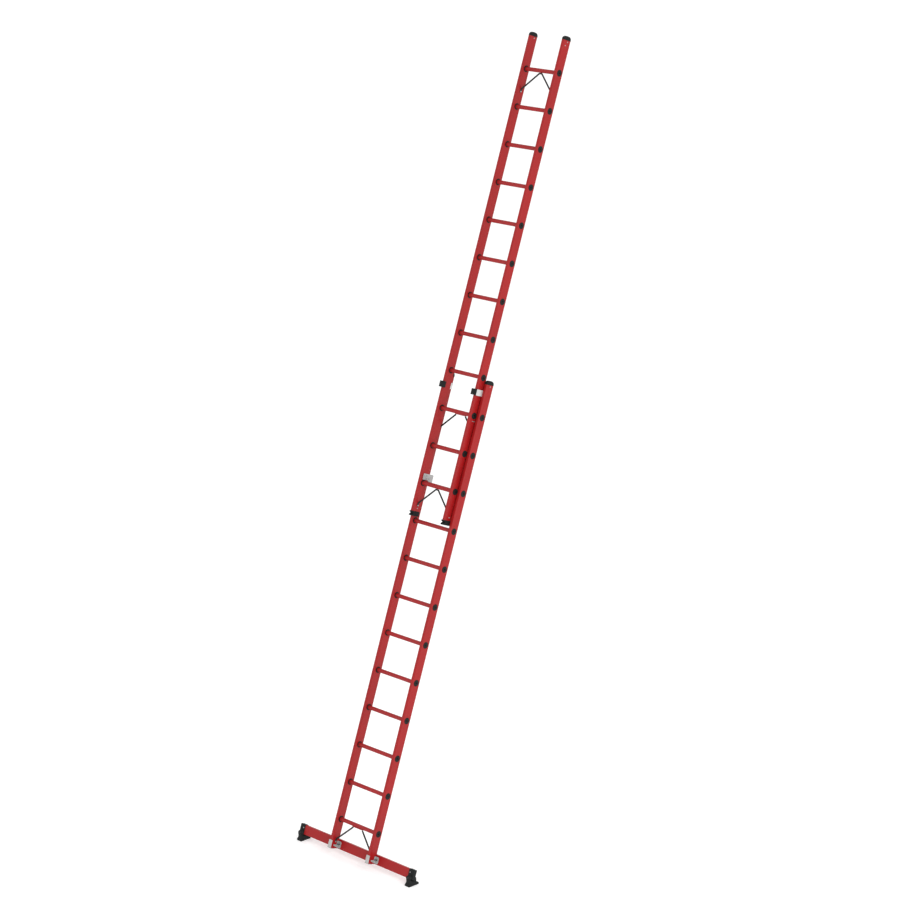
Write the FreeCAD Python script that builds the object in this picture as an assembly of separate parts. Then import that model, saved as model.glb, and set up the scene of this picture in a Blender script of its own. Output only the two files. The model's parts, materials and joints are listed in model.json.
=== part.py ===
import FreeCAD, Part
import math
import os

# Two-section push-up extension ladder with a cross stabiliser, in millimetres.
# Everything is laid out in the ladder's own frame and leaned at the very end:
#   x  across the ladder, left is -x
#   y  through the ladder, the climber stands on the -y side
#   z  up along the stiles, 0 at the lower section's stile ends

os.makedirs("parts", exist_ok=True)

# ---------------------------------------------------------------- ladder
rung_pitch = 280.0
rung_count = 12
raised_pitches = 9
lean_angle = 20.0
lower_width = 425.0
side_gap = 10.0
slide_gap = 0.5
cut_over = 1.0

# stiles: hollow pultruded rectangles
stile_depth = 70.0
stile_width = 25.0
stile_wall = 3.5
stile_corner = 3.0
lower_foot_length = 220.0
lower_head_length = 240.0
upper_foot_length = 213.0
upper_head_length = 239.0

# rungs and their bushes
rung_diameter = 30.0
rung_wall = 2.5
bush_wall = 2.4
bush_fit = 0.05
bush_flange = 47.5
bush_flange_thickness = 1.8
end_cap_diameter = 48.5
end_cap_thickness = 1.4
end_cap_hole = 11.0
bush_middle_gap = 0.4

# domed caps on the four stile tops
cap_overhang = 1.2
cap_height = 31.0
cap_shoulder = 7.0
cap_crown = 27.0
cap_edge_round = 5.0
plug_length = 26.0
plug_fit = 0.2

# rubber shoes under the two upper stiles
shoe_overhang = 4.0
shoe_collar = 9.0
shoe_notch_depth = 14.0
shoe_notch_end = 16.0
shoe_heel_top = 27.0
shoe_height = 36.0
shoe_plug_length = 30.0

# blind rivets through stile and cap or shoe
rivet_head = 9.0
rivet_head_height = 1.6
rivet_shank = 5.0
rivet_fit = 0.1
rivet_inset = 11.5
rivet_offset = 5.0
shoe_rivet_inset = 22.0
head_stud_inset = 39.0
head_stud_offset = -10.0
head_stud_length = 8.0

# stay rods under the first and last rung of each section
stay_diameter = 12.0
stay_rung_gap = 0.3
stay_apex_half = 12.0
stay_drop = 150.0
stay_tab_thickness = 3.0
stay_tab_width = 16.0
stay_tab_length = 32.0
stay_bolt_drop = 169.0
stay_split_half = 48.0
saddle_thickness = 5.0
saddle_fit = 0.1
saddle_half_angle = 48.0

# screws: a domed head against the stile and a shank through its inner wall
screw_head = 12.0
screw_head_height = 4.0
screw_head_round = 2.4
screw_shank = 6.0
screw_length = 10.0
screw_fit = 0.1

# guides at the top of the lower section
guide_height = 45.0
guide_below_end = 49.0
guide_plate_thickness = 3.0
guide_nose_reach = 17.0
guide_front_gap = 0.8
guide_front_thickness = 13.7
guide_cheek_depth = 5.5
guide_cheek_side = 7.5
guide_slot_fit = 0.2
guide_cover_proud = 2.0
guide_leg_setback = 4.0

# rung hooks: steel plates that swing on the upper section's bottom end
hook_thickness = 3.0
hook_standoff = 2.2
hook_front = 19.5
hook_top = 69.0
hook_low_front = 24.0
hook_seat_gap = 0.3
hook_nose_gap = 0.8
hook_nose_width = 16.0
hook_nose_drop = 11.0
hook_corner = 8.0
hook_pivot_back = 1.5
hook_pivot_rise = 50.0
hook_pin = 8.0
hook_pin_head = 13.0
hook_pin_depth = 6.5
hook_pin_fit = 0.05
hook_side_gap = 0.3
hook_ramp_rise = 3.2
hook_corner_round = 2.7

# crossbar: a rectangular tube behind the lower stile ends
bar_height = 70.0
bar_depth = 25.0
bar_wall = 3.0
bar_corner = 2.5
bar_half_length = 602.0

# stirrups plugged into the lower stile ends
bracket_sheet = 4.0
bracket_tab_height = 59.0
bracket_floor_depth = 43.0
bracket_plug_height = 44.0
bracket_bend = 4.0

# angles on both sides of each lower stile that fasten it to the crossbar
angle_sheet = 3.0
angle_ear_width = 30.5
angle_bottom = 4.0
angle_top = 57.0
angle_corner = 8.0
angle_web_width = 19.0
angle_arm_reach = 48.0
angle_arm_low = 19.0
angle_arm_high = 28.5
ear_bolt_head = 11.0
ear_bolt_head_height = 5.0
ear_bolt_shank = 8.0
ear_bolt_rise = 34.0
ear_bolt_offset = 14.0
ear_bolt_tail = 8.0
stile_bolt = 6.0
stile_bolt_head = 10.0
stile_bolt_head_height = 4.0
stile_bolt_back = 22.0
stile_bolt_rise = 33.0

# end housings over the crossbar's ends
housing_wall = 3.0
housing_end_wall = 4.0
housing_fit = 0.3
housing_length = 50.0
housing_round = 3.9
housing_boss = 40.0
housing_boss_height = 1.0
housing_rivet_inset = 14.0
housing_rivet_rise = 48.0

# feet that rock on a fore-and-aft bolt through each housing
foot_setback = 27.5
foot_pivot_rise = 8.0
foot_pin = 12.0
foot_pin_fit = 0.05
foot_side_gap = 0.4
foot_front_reach = 21.5
foot_rear_reach = 16.0
foot_eye_root = 45.0
foot_eye_tip = 28.0
foot_recess = 20.5
foot_recess_depth = 9.0
foot_floor = 11.0
foot_ground_drop = 53.8
foot_sole_width = 48.0
foot_sole_length = 97.0
foot_sole_forward = 42.4
foot_flange = 8.0
foot_flare = 6.0
foot_neck_inset = 8.0
foot_front_draft = 1.6
foot_rear_draft = 11.2
foot_pin_head = 19.0
foot_pin_head_height = 6.0
tread_thickness = 6.0
tread_inset = 1.0
tread_groove = 3.0
tread_groove_depth = 2.5
tread_groove_count = 7

# ---------------------------------------------------------------- derived
X_AXIS = FreeCAD.Vector(1, 0, 0)
Y_AXIS = FreeCAD.Vector(0, 1, 0)
Z_AXIS = FreeCAD.Vector(0, 0, 1)

upper_width = lower_width - 2.0 * (stile_width + side_gap)
section_offset = stile_depth / 2.0 + rung_diameter / 2.0 + slide_gap
rung_span = rung_pitch * (rung_count - 1)
lower_first_rung = lower_foot_length
upper_first_rung = lower_first_rung + raised_pitches * rung_pitch
lower_end = lower_first_rung + rung_span + lower_head_length
upper_start = upper_first_rung - upper_foot_length
upper_end = upper_first_rung + rung_span + upper_head_length
bush_outer = rung_diameter + 2.0 * (bush_wall + bush_fit)
foot_x = bar_half_length + housing_end_wall - foot_setback
foot_y = stile_depth / 2.0 + bar_depth / 2.0


class Section:
    """One ladder section: where its stiles and rungs lie."""

    def __init__(self, name, width, y, start, end, first_rung):
        self.name = name
        self.width = width
        self.y = y
        self.start = start
        self.end = end
        self.first_rung = first_rung
        self.stile_x = width / 2.0 - stile_width / 2.0
        self.inner_x = width / 2.0 - stile_width
        self.outer_x = width / 2.0

    def rung_z(self, index):
        return self.first_rung + rung_pitch * index

    def last_rung(self):
        return self.rung_z(rung_count - 1)


LOWER = Section("lower", lower_width, 0.0, 0.0, lower_end, lower_first_rung)
UPPER = Section("upper", upper_width, -section_offset, upper_start, upper_end, upper_first_rung)
SIDES = (("left", -1.0), ("right", 1.0))


# ---------------------------------------------------------------- solids
def block(x0, x1, y0, y1, z0, z1):
    """Box between two corners given in any order."""
    low = FreeCAD.Vector(min(x0, x1), min(y0, y1), min(z0, z1))
    return Part.makeBox(abs(x1 - x0), abs(y1 - y0), abs(z1 - z0), low)


def rod_x(x0, x1, y, z, diameter):
    """Round bar along x."""
    start = FreeCAD.Vector(min(x0, x1), y, z)
    return Part.makeCylinder(diameter / 2.0, abs(x1 - x0), start, X_AXIS)


def rod_y(x, y0, y1, z, diameter):
    """Round bar along y."""
    start = FreeCAD.Vector(x, min(y0, y1), z)
    return Part.makeCylinder(diameter / 2.0, abs(y1 - y0), start, Y_AXIS)


def rod_between(start, end, diameter):
    """Round bar from one point to another."""
    run = end.sub(start)
    return Part.makeCylinder(diameter / 2.0, run.Length, start, run)


def rounded_post(x, y, width, depth, z0, z1, radius):
    """Upright rectangle of material with its four long edges rounded."""
    post = block(x - width / 2.0, x + width / 2.0, y - depth / 2.0, y + depth / 2.0, z0, z1)
    upright = [e for e in post.Edges if abs(e.Length - (z1 - z0)) < 1e-6]
    if radius <= 0.0:
        return post
    return post.makeFillet(radius, upright)


def rounded_beam(x0, x1, y, z, depth, height, radius):
    """Rectangle of material along x with its four long edges rounded."""
    beam = block(x0, x1, y - depth / 2.0, y + depth / 2.0, z - height / 2.0, z + height / 2.0)
    along = [e for e in beam.Edges if abs(e.Length - abs(x1 - x0)) < 1e-6]
    if radius <= 0.0:
        return beam
    return beam.makeFillet(radius, along)


def plate_yz(points, x0, x1):
    """Flat plate cut to an outline of (y, z) points, from x0 to x1."""
    low = min(x0, x1)
    corners = [FreeCAD.Vector(low, y, z) for y, z in points]
    face = Part.Face(Part.makePolygon(corners + corners[:1]))
    return face.extrude(FreeCAD.Vector(abs(x1 - x0), 0, 0))


def plate_xz(points, y0, y1):
    """Flat plate cut to an outline of (x, z) points, from y0 to y1."""
    low = min(y0, y1)
    corners = [FreeCAD.Vector(x, low, z) for x, z in points]
    face = Part.Face(Part.makePolygon(corners + corners[:1]))
    return face.extrude(FreeCAD.Vector(0, abs(y1 - y0), 0))


def fuse(pieces):
    """One solid from several that overlap or meet."""
    joined = pieces[0].multiFuse(pieces[1:])
    return joined.removeSplitter()


def edges_along(shape, axis, test):
    """Straight edges parallel to an axis whose middle passes the test."""
    found = []
    for edge in shape.Edges:
        if len(edge.Vertexes) != 2:
            continue
        run = edge.Vertexes[1].Point.sub(edge.Vertexes[0].Point)
        if run.Length < 1e-6 or abs(abs(run.dot(axis)) - run.Length) > 1e-6:
            continue
        if test(edge.CenterOfMass):
            found.append(edge)
    return found


# ---------------------------------------------------------------- stiles
def stay_screw_places(section):
    """(y, z) of the screws through the flattened ends of the stay rods."""
    rungs = (section.first_rung, section.last_rung())
    return [(section.y, z - stay_bolt_drop) for z in rungs]


def guide_screw_places():
    """(y, z) of the two screws that hold each guide plate."""
    low, high = guide_span()
    step = (high - low) / 4.0
    return [(LOWER.y, low + step), (LOWER.y, high - step)]


def stile_screws(section):
    """(y, z) of every screw in the inner wall of a stile."""
    if section is LOWER:
        return stay_screw_places(section) + guide_screw_places()
    return stay_screw_places(section)


def rivet_places(section):
    """(y, z) of the rivets that run through a stile."""
    places = [(section.y + rivet_offset, section.end - rivet_inset)]
    if section is UPPER:
        places.append((section.y + rivet_offset, section.start + shoe_rivet_inset))
    return places


def head_stud_place():
    """(y, z) of the stud in the outer wall near an upper stile's top."""
    return UPPER.y + head_stud_offset, UPPER.end - head_stud_inset


def stile_bolt_place():
    """(y, z) of the bolt through a lower stile and its angles."""
    return LOWER.y + stile_bolt_back, stile_bolt_rise


def hook_pivot():
    """(y, z) of the pin that a rung hook swings on."""
    return UPPER.y - hook_pivot_back, UPPER.first_rung + hook_pivot_rise


def stile(section, sign):
    """Hollow stile with its rung, rivet and screw holes."""
    x = sign * section.stile_x
    outer = rounded_post(x, section.y, stile_width, stile_depth,
                         section.start, section.end, stile_corner)
    inner_radius = max(stile_corner - stile_wall, 0.0)
    hollow = rounded_post(x, section.y, stile_width - 2.0 * stile_wall,
                          stile_depth - 2.0 * stile_wall,
                          section.start - cut_over, section.end + cut_over, inner_radius)
    through = (x - stile_width, x + stile_width)
    cuts = [hollow]
    for index in range(rung_count):
        cuts.append(rod_x(through[0], through[1], section.y, section.rung_z(index), bush_outer))
    for y, z in rivet_places(section):
        cuts.append(rod_x(through[0], through[1], y, z, rivet_shank + 2.0 * rivet_fit))
    face_x = sign * section.inner_x
    wall = (face_x - stile_wall - cut_over, face_x + stile_wall + cut_over)
    for y, z in stile_screws(section):
        cuts.append(rod_x(wall[0], wall[1], y, z, screw_shank + 2.0 * screw_fit))
    if section is UPPER:
        y, z = hook_pivot()
        cuts.append(rod_x(wall[0], wall[1], y, z, hook_pin + 2.0 * hook_pin_fit))
        y, z = head_stud_place()
        outer_x = sign * section.outer_x
        cuts.append(rod_x(outer_x + sign * cut_over, outer_x - sign * (stile_wall + cut_over), y, z,
                          rivet_shank + 2.0 * rivet_fit))
    else:
        y, z = stile_bolt_place()
        cuts.append(rod_x(through[0], through[1], y, z, stile_bolt + 2.0 * screw_fit))
    return outer.cut(cuts)


# ---------------------------------------------------------------- rungs
def rung(section, index):
    """Round tube that reaches from one stile's outer face to the other's."""
    z = section.rung_z(index)
    tube = rod_x(-section.outer_x, section.outer_x, section.y, z, rung_diameter)
    bore = rod_x(-section.outer_x - cut_over, section.outer_x + cut_over, section.y, z,
                 rung_diameter - 2.0 * rung_wall)
    return tube.cut(bore)


def inner_bush(section, sign, z):
    """Flanged collar pushed in from the stile's inner face."""
    face_x = sign * section.inner_x
    middle = sign * (section.stile_x - bush_middle_gap / 2.0)
    sleeve = rod_x(face_x, middle, section.y, z, bush_outer - 2.0 * bush_fit)
    flange = rod_x(face_x, face_x - sign * bush_flange_thickness, section.y, z, bush_flange)
    bore = rod_x(face_x - sign * (bush_flange_thickness + cut_over), middle + sign, section.y, z,
                 rung_diameter + 2.0 * bush_fit)
    return fuse([sleeve, flange]).cut(bore)


def outer_bush(section, sign, z):
    """Cap pushed in from the outer face over the rung's end, with a small centre hole."""
    face_x = sign * section.outer_x
    middle = sign * (section.stile_x + bush_middle_gap / 2.0)
    sleeve = rod_x(face_x, middle, section.y, z, bush_outer - 2.0 * bush_fit)
    seat = rod_x(face_x, middle - sign, section.y, z, rung_diameter + 2.0 * bush_fit)
    disc = rod_x(face_x, face_x + sign * end_cap_thickness, section.y, z, end_cap_diameter)
    hole = rod_x(face_x - sign, face_x + sign * (end_cap_thickness + cut_over), section.y, z,
                 end_cap_hole)
    return fuse([sleeve.cut(seat), disc.cut(hole)])


def rung_bushes(section):
    """All the collars and end caps of one section."""
    bushes = []
    for index in range(rung_count):
        for _, sign in SIDES:
            bushes.append(inner_bush(section, sign, section.rung_z(index)))
            bushes.append(outer_bush(section, sign, section.rung_z(index)))
    return Part.makeCompound(bushes)


# ---------------------------------------------------------------- caps and shoes
def stile_plug(section, sign, z0, z1):
    """Tongue that fills the stile's end, drilled for its rivet."""
    x = sign * section.stile_x
    plug = block(x - stile_width / 2.0 + stile_wall + plug_fit,
                 x + stile_width / 2.0 - stile_wall - plug_fit,
                 section.y - stile_depth / 2.0 + stile_wall + plug_fit,
                 section.y + stile_depth / 2.0 - stile_wall - plug_fit, z0, z1)
    holes = []
    for y, z in rivet_places(section):
        holes.append(rod_x(x - stile_width, x + stile_width, y, z,
                           rivet_shank + 2.0 * rivet_fit))
    return plug.cut(holes)


def top_cap(section, sign):
    """Moulded cap, crowned front to back, plugged into the stile's top."""
    half = stile_depth / 2.0 + cap_overhang
    half_width = stile_width / 2.0 + cap_overhang
    x = sign * section.stile_x
    base = section.end
    knee = math.sqrt(0.5)
    rise = cap_height - cap_shoulder
    flat = half - cap_crown

    def at(y, z):
        return FreeCAD.Vector(x - half_width, section.y + y, base + z)

    front = Part.Arc(at(-half, cap_shoulder),
                     at(-flat - cap_crown * knee, cap_shoulder + rise * knee),
                     at(-flat, cap_height)).toShape()
    rear = Part.Arc(at(flat, cap_height),
                    at(flat + cap_crown * knee, cap_shoulder + rise * knee),
                    at(half, cap_shoulder)).toShape()
    outline = Part.Wire([
        Part.makeLine(at(-half, 0.0), at(-half, cap_shoulder)), front,
        Part.makeLine(at(-flat, cap_height), at(flat, cap_height)), rear,
        Part.makeLine(at(half, cap_shoulder), at(half, 0.0)),
        Part.makeLine(at(half, 0.0), at(-half, 0.0))])
    dome = Part.Face(outline).extrude(FreeCAD.Vector(2.0 * half_width, 0, 0))
    rims = []
    for edge in dome.Edges:
        on_side = abs(edge.BoundBox.XLength) < 1e-6
        if on_side and edge.CenterOfMass.z > base + 0.1:
            rims.append(edge)
    dome = dome.makeFillet(cap_edge_round, rims)
    return fuse([dome, stile_plug(section, sign, base - plug_length, base + cut_over)])


def upper_shoe(sign):
    """Moulded shoe: a collar, a notch across its front and a thick heel."""
    section = UPPER
    x = sign * section.stile_x
    front = section.y - stile_depth / 2.0 - shoe_overhang
    rear = section.y + stile_depth / 2.0
    base = section.start
    outline = [(rear, base), (front, base), (front, base - shoe_collar),
               (front + shoe_notch_depth, base - shoe_notch_end),
               (front, base - shoe_heel_top), (front, base - shoe_height),
               (rear, base - shoe_height)]
    half = stile_width / 2.0 + shoe_overhang
    body = plate_yz(outline, x - half, x + half)
    plug = stile_plug(section, sign, base - cut_over, base + shoe_plug_length)
    return fuse([body, plug])


# ---------------------------------------------------------------- fasteners
def through_rivet(x0, x1, y, z):
    """Rivet through a stile, with a low round head on each face."""
    direction = 1.0 if x1 > x0 else -1.0
    shank = rod_x(x0, x1, y, z, rivet_shank)
    near = rod_x(x0 - direction * rivet_head_height, x0, y, z, rivet_head)
    far = rod_x(x1, x1 + direction * rivet_head_height, y, z, rivet_head)
    return fuse([near, shank, far])


def section_rivets(section):
    """Every through-rivet of one section."""
    rivets = []
    for _, sign in SIDES:
        for y, z in rivet_places(section):
            rivets.append(through_rivet(sign * section.inner_x, sign * section.outer_x, y, z))
    return rivets


def head_studs():
    """Blind rivets in the outer walls near the upper stiles' tops."""
    studs = []
    y, z = head_stud_place()
    for _, sign in SIDES:
        face_x = sign * UPPER.outer_x
        head = rod_x(face_x, face_x + sign * rivet_head_height, y, z, rivet_head)
        shank = rod_x(face_x, face_x - sign * head_stud_length, y, z, rivet_shank)
        studs.append(fuse([head, shank]))
    return studs


def housing_rivets():
    """Rivets through the end housings and the crossbar."""
    rivets = []
    for _, sign in SIDES:
        x = sign * (housing_inner_x() + housing_rivet_inset)
        front = foot_y - bar_depth / 2.0 - housing_wall
        rear = foot_y + bar_depth / 2.0 + housing_wall
        shank = rod_y(x, front, rear, housing_rivet_rise, rivet_shank)
        near = rod_y(x, front - rivet_head_height, front, housing_rivet_rise, rivet_head)
        far = rod_y(x, rear, rear + rivet_head_height, housing_rivet_rise, rivet_head)
        rivets.append(fuse([near, shank, far]))
    return rivets


def domed_screw(tab_x, sign, y, z):
    """Screw with a domed head on the inner side, reaching out through the stile's wall."""
    head = rod_x(tab_x, tab_x - sign * screw_head_height, y, z, screw_head)
    rim = tab_x - sign * screw_head_height
    top = [e for e in head.Edges if abs(e.CenterOfMass.x - rim) < 1e-6 and len(e.Vertexes) == 1]
    head = head.makeFillet(screw_head_round, top)
    shank = rod_x(tab_x, tab_x + sign * screw_length, y, z, screw_shank)
    return fuse([head, shank])


def stay_screws(section):
    """Screws that hold the flattened ends of the stay rods."""
    screws = []
    for _, sign in SIDES:
        tab_x = sign * (section.inner_x - stay_tab_thickness)
        for y, z in stay_screw_places(section):
            screws.append(domed_screw(tab_x, sign, y, z))
    return screws


def hook_pins():
    """Shouldered pins that the rung hooks swing on."""
    pins = []
    y, z = hook_pivot()
    for _, sign in SIDES:
        face_x = sign * UPPER.inner_x
        plate_x = face_x - sign * (hook_standoff + hook_thickness)
        head_x = plate_x - sign * hook_side_gap
        shank = rod_x(face_x + sign * hook_pin_depth, head_x, y, z, hook_pin)
        head = rod_x(head_x, head_x - sign * screw_head_height, y, z, hook_pin_head)
        washer = rod_x(face_x, face_x - sign * (hook_standoff - hook_side_gap), y, z,
                       hook_pin_head)
        pins.append(fuse([shank, head, washer]))
    return pins


# ---------------------------------------------------------------- stays
def stay_tab(section, sign, z):
    """Flattened end of a stay rod against the stile's inner face."""
    face_x = sign * section.inner_x
    tab_top = z - stay_drop
    bolt_z = z - stay_bolt_drop
    tab = block(face_x, face_x - sign * stay_tab_thickness,
                section.y - stay_tab_width / 2.0, section.y + stay_tab_width / 2.0,
                bolt_z, tab_top + stay_diameter / 2.0)
    tip = rod_x(face_x, face_x - sign * stay_tab_thickness, section.y, bolt_z, stay_tab_width)
    hole = rod_x(face_x - sign * (stay_tab_thickness + cut_over), face_x + sign, section.y, bolt_z,
                 screw_shank + 2.0 * screw_fit)
    return fuse([tab, tip]).cut(hole)


def stay_arm(section, sign, z, top_x):
    """One inclined stay rod from under the rung to its flattened end."""
    axis_z = z - rung_diameter / 2.0 - stay_rung_gap - stay_diameter / 2.0
    start = FreeCAD.Vector(sign * top_x, section.y, axis_z)
    end_x = section.inner_x - stay_diameter / 2.0 - stay_rung_gap
    end = FreeCAD.Vector(sign * end_x, section.y, z - stay_drop)
    arm = rod_between(start, end, stay_diameter)
    elbow = Part.makeSphere(stay_diameter / 2.0, end)
    reach = block(sign * end_x, sign * section.inner_x, section.y - stay_tab_width / 2.0,
                  section.y + stay_tab_width / 2.0, z - stay_drop - stay_diameter / 2.0,
                  z - stay_drop + stay_diameter / 2.0)
    return [arm, elbow, reach, stay_tab(section, sign, z)]


def v_stay(section, z):
    """One rod bent to a V, whose short flat apex sits under the rung."""
    axis_z = z - rung_diameter / 2.0 - stay_rung_gap - stay_diameter / 2.0
    pieces = [rod_x(-stay_apex_half, stay_apex_half, section.y, axis_z, stay_diameter)]
    for _, sign in SIDES:
        corner = FreeCAD.Vector(sign * stay_apex_half, section.y, axis_z)
        pieces.append(Part.makeSphere(stay_diameter / 2.0, corner))
        pieces.extend(stay_arm(section, sign, z, stay_apex_half))
    return fuse(pieces)


def split_stays(section, z):
    """Two separate rods that hang from the ends of a saddle under the rung."""
    arms = []
    for _, sign in SIDES:
        arm = fuse(stay_arm(section, sign, z, stay_split_half))
        clear = rod_x(-section.inner_x, section.inner_x, section.y, z,
                      rung_diameter + 2.0 * stay_rung_gap)
        saddle_space = block(-stay_split_half, stay_split_half,
                             section.y - rung_diameter, section.y + rung_diameter,
                             z - 1.5 * rung_diameter, z)
        arms.append(arm.cut([clear, saddle_space]))
    return Part.makeCompound(arms)


def stay_saddle(section, z):
    """Curved shell under the rung that spreads the pull of the two rods."""
    outer = rod_x(-stay_split_half, stay_split_half, section.y, z,
                  rung_diameter + 2.0 * (saddle_fit + saddle_thickness))
    inner = rod_x(-stay_split_half - cut_over, stay_split_half + cut_over, section.y, z,
                  rung_diameter + 2.0 * saddle_fit)
    half = math.radians(saddle_half_angle)
    reach = 2.0 * rung_diameter
    side = reach * math.sin(half)
    drop = reach * math.cos(half)
    wedge = plate_yz([(section.y, z), (section.y - side, z - drop), (section.y, z - 1.5 * reach),
                      (section.y + side, z - drop)],
                     -stay_split_half - cut_over, stay_split_half + cut_over)
    return outer.cut(inner).common(wedge)


# ---------------------------------------------------------------- guides
def guide_span():
    """Bottom and top of the guides."""
    top = LOWER.end - guide_below_end
    return top - guide_height, top


def guide_front_y():
    """Front and rear of the guide's nose, in front of the upper stile."""
    rear = UPPER.y - stile_depth / 2.0 - guide_front_gap
    return rear - guide_front_thickness, rear


def guide_plate_shape(sign, grow):
    """Angle of sheet metal: a side leg on the stile and a front leg across the upper stile."""
    low, high = guide_span()
    front, rear = guide_front_y()
    wall_x = LOWER.inner_x + grow
    leg_front = front + guide_leg_setback - grow
    leg_rear = leg_front + guide_plate_thickness + 2.0 * grow
    side = block(sign * wall_x, sign * (LOWER.inner_x - guide_plate_thickness - grow),
                 leg_front, stile_depth / 2.0, low - grow, high + grow)
    nose_x = UPPER.inner_x - guide_nose_reach + guide_leg_setback - grow
    nose = block(sign * wall_x, sign * nose_x, leg_front, leg_rear, low - grow, high + grow)
    return fuse([side, nose])


def guide_plate(sign):
    """The guide's sheet metal angle, drilled for its two screws."""
    near = sign * (LOWER.inner_x + cut_over)
    far = sign * (LOWER.inner_x - guide_plate_thickness - cut_over)
    holes = [rod_x(near, far, y, z, screw_shank + 2.0 * screw_fit)
             for y, z in guide_screw_places()]
    return guide_plate_shape(sign, 0.0).cut(holes)


def guide_screws():
    """Screws of the guide plates."""
    screws = []
    for _, sign in SIDES:
        tab_x = sign * (LOWER.inner_x - guide_plate_thickness)
        for y, z in guide_screw_places():
            screws.append(domed_screw(tab_x, sign, y, z))
    return screws


def guide_block(sign):
    """Moulded slide block that covers the plate's front and wraps the upper stile's corner."""
    low, high = guide_span()
    front, rear = guide_front_y()
    outer_x = LOWER.inner_x + guide_cover_proud
    nose = block(sign * outer_x, sign * (UPPER.inner_x - guide_nose_reach), front, rear, low, high)
    cheek = block(sign * outer_x, sign * (LOWER.inner_x - guide_cheek_side),
                  front, rear + guide_cheek_depth, low, high)
    body = fuse([nose, cheek])
    corners = edges_along(body, Z_AXIS, lambda c: c.y < front + 0.1)
    body = body.makeFillet(guide_cover_proud, corners)
    return body.cut(guide_plate_shape(sign, guide_slot_fit))


# ---------------------------------------------------------------- hooks
def rung_hook(sign):
    """Hook plate: its underside rests over a lower rung and its nose drops behind it."""
    y0 = UPPER.y
    z0 = UPPER.first_rung
    seat = z0 + rung_diameter / 2.0 + hook_seat_gap
    back = rung_diameter / 2.0 + hook_nose_gap
    ramp = rung_diameter / 2.0
    outline = [(y0 - hook_front, z0 + hook_low_front),
               (-ramp - slide_gap, z0 + hook_low_front),
               (-ramp / 2.0, seat),
               (back, seat),
               (back, seat - hook_nose_drop),
               (back + hook_nose_width, seat - hook_nose_drop + hook_ramp_rise),
               (back + hook_nose_width, z0 + hook_top - hook_corner),
               (back + hook_nose_width - hook_corner, z0 + hook_top),
               (y0 - hook_front + hook_corner / 2.0, z0 + hook_top),
               (y0 - hook_front, z0 + hook_top - hook_corner / 2.0)]
    face_x = UPPER.inner_x - hook_standoff
    plate = plate_yz(outline, sign * face_x, sign * (face_x - hook_thickness))
    top_corners = z0 + hook_top - hook_corner
    corners = edges_along(plate, X_AXIS, lambda c: c.y > back + 0.1 or c.z > top_corners)
    plate = plate.makeFillet(hook_corner_round, corners)
    y, z = hook_pivot()
    bore = rod_x(sign * (face_x + cut_over), sign * (face_x - hook_thickness - cut_over), y, z,
                 hook_pin + 2.0 * hook_pin_fit)
    return plate.cut(bore)


# ---------------------------------------------------------------- crossbar
def bar_bores():
    """Bores along y for the bracket bolts, the end rivets and the foot pins."""
    bores = []
    y0 = stile_depth / 2.0 - cut_over
    y1 = stile_depth / 2.0 + bar_depth + cut_over
    for x, z in ear_bolt_places():
        bores.append(rod_y(x, y0, y1, z, ear_bolt_shank + 2.0 * screw_fit))
    for _, sign in SIDES:
        rivet_x = sign * (housing_inner_x() + housing_rivet_inset)
        bores.append(rod_y(rivet_x, y0, y1, housing_rivet_rise, rivet_shank + 2.0 * rivet_fit))
        bores.append(rod_y(sign * foot_x, y0, y1, foot_pivot_rise, foot_pin + 2.0 * screw_fit))
    return bores


def crossbar():
    """Rectangular tube behind the stile ends."""
    z = bar_height / 2.0
    outer = rounded_beam(-bar_half_length, bar_half_length, foot_y, z, bar_depth, bar_height,
                         bar_corner)
    hollow = rounded_beam(-bar_half_length - cut_over, bar_half_length + cut_over, foot_y, z,
                          bar_depth - 2.0 * bar_wall, bar_height - 2.0 * bar_wall, 0.0)
    return outer.cut([hollow] + bar_bores())


def ear_bolt_places():
    """(x, z) of the bolts through the angles' ears."""
    places = []
    for _, side in SIDES:
        for ear in (-1.0, 1.0):
            x = side * LOWER.stile_x + ear * (stile_width / 2.0 + ear_bolt_offset)
            places.append((x, ear_bolt_rise))
    return places


def ear_bolts():
    """Bolts that clamp the angles' ears to the crossbar."""
    bolts = []
    face = stile_depth / 2.0 - angle_sheet
    rear = stile_depth / 2.0 + bar_depth
    for x, z in ear_bolt_places():
        head = rod_y(x, face - ear_bolt_head_height, face, z, ear_bolt_head)
        shank = rod_y(x, face, rear + ear_bolt_tail, z, ear_bolt_shank)
        nut = rod_y(x, rear, rear + ear_bolt_head_height, z, ear_bolt_head)
        bolts.append(fuse([head, shank, nut]))
    return bolts


def stile_bolts():
    """Bolts across the lower stiles, through the angles, the stile and the stirrup's plug."""
    bolts = []
    y, z = stile_bolt_place()
    reach = stile_width / 2.0 + angle_sheet
    for _, sign in SIDES:
        x = sign * LOWER.stile_x
        shank = rod_x(x - reach, x + reach, y, z, stile_bolt)
        head = rod_x(x + reach, x + reach + stile_bolt_head_height, y, z, stile_bolt_head)
        nut = rod_x(x - reach, x - reach - stile_bolt_head_height, y, z, stile_bolt_head)
        bolts.append(fuse([shank, head, nut]))
    return bolts


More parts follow.
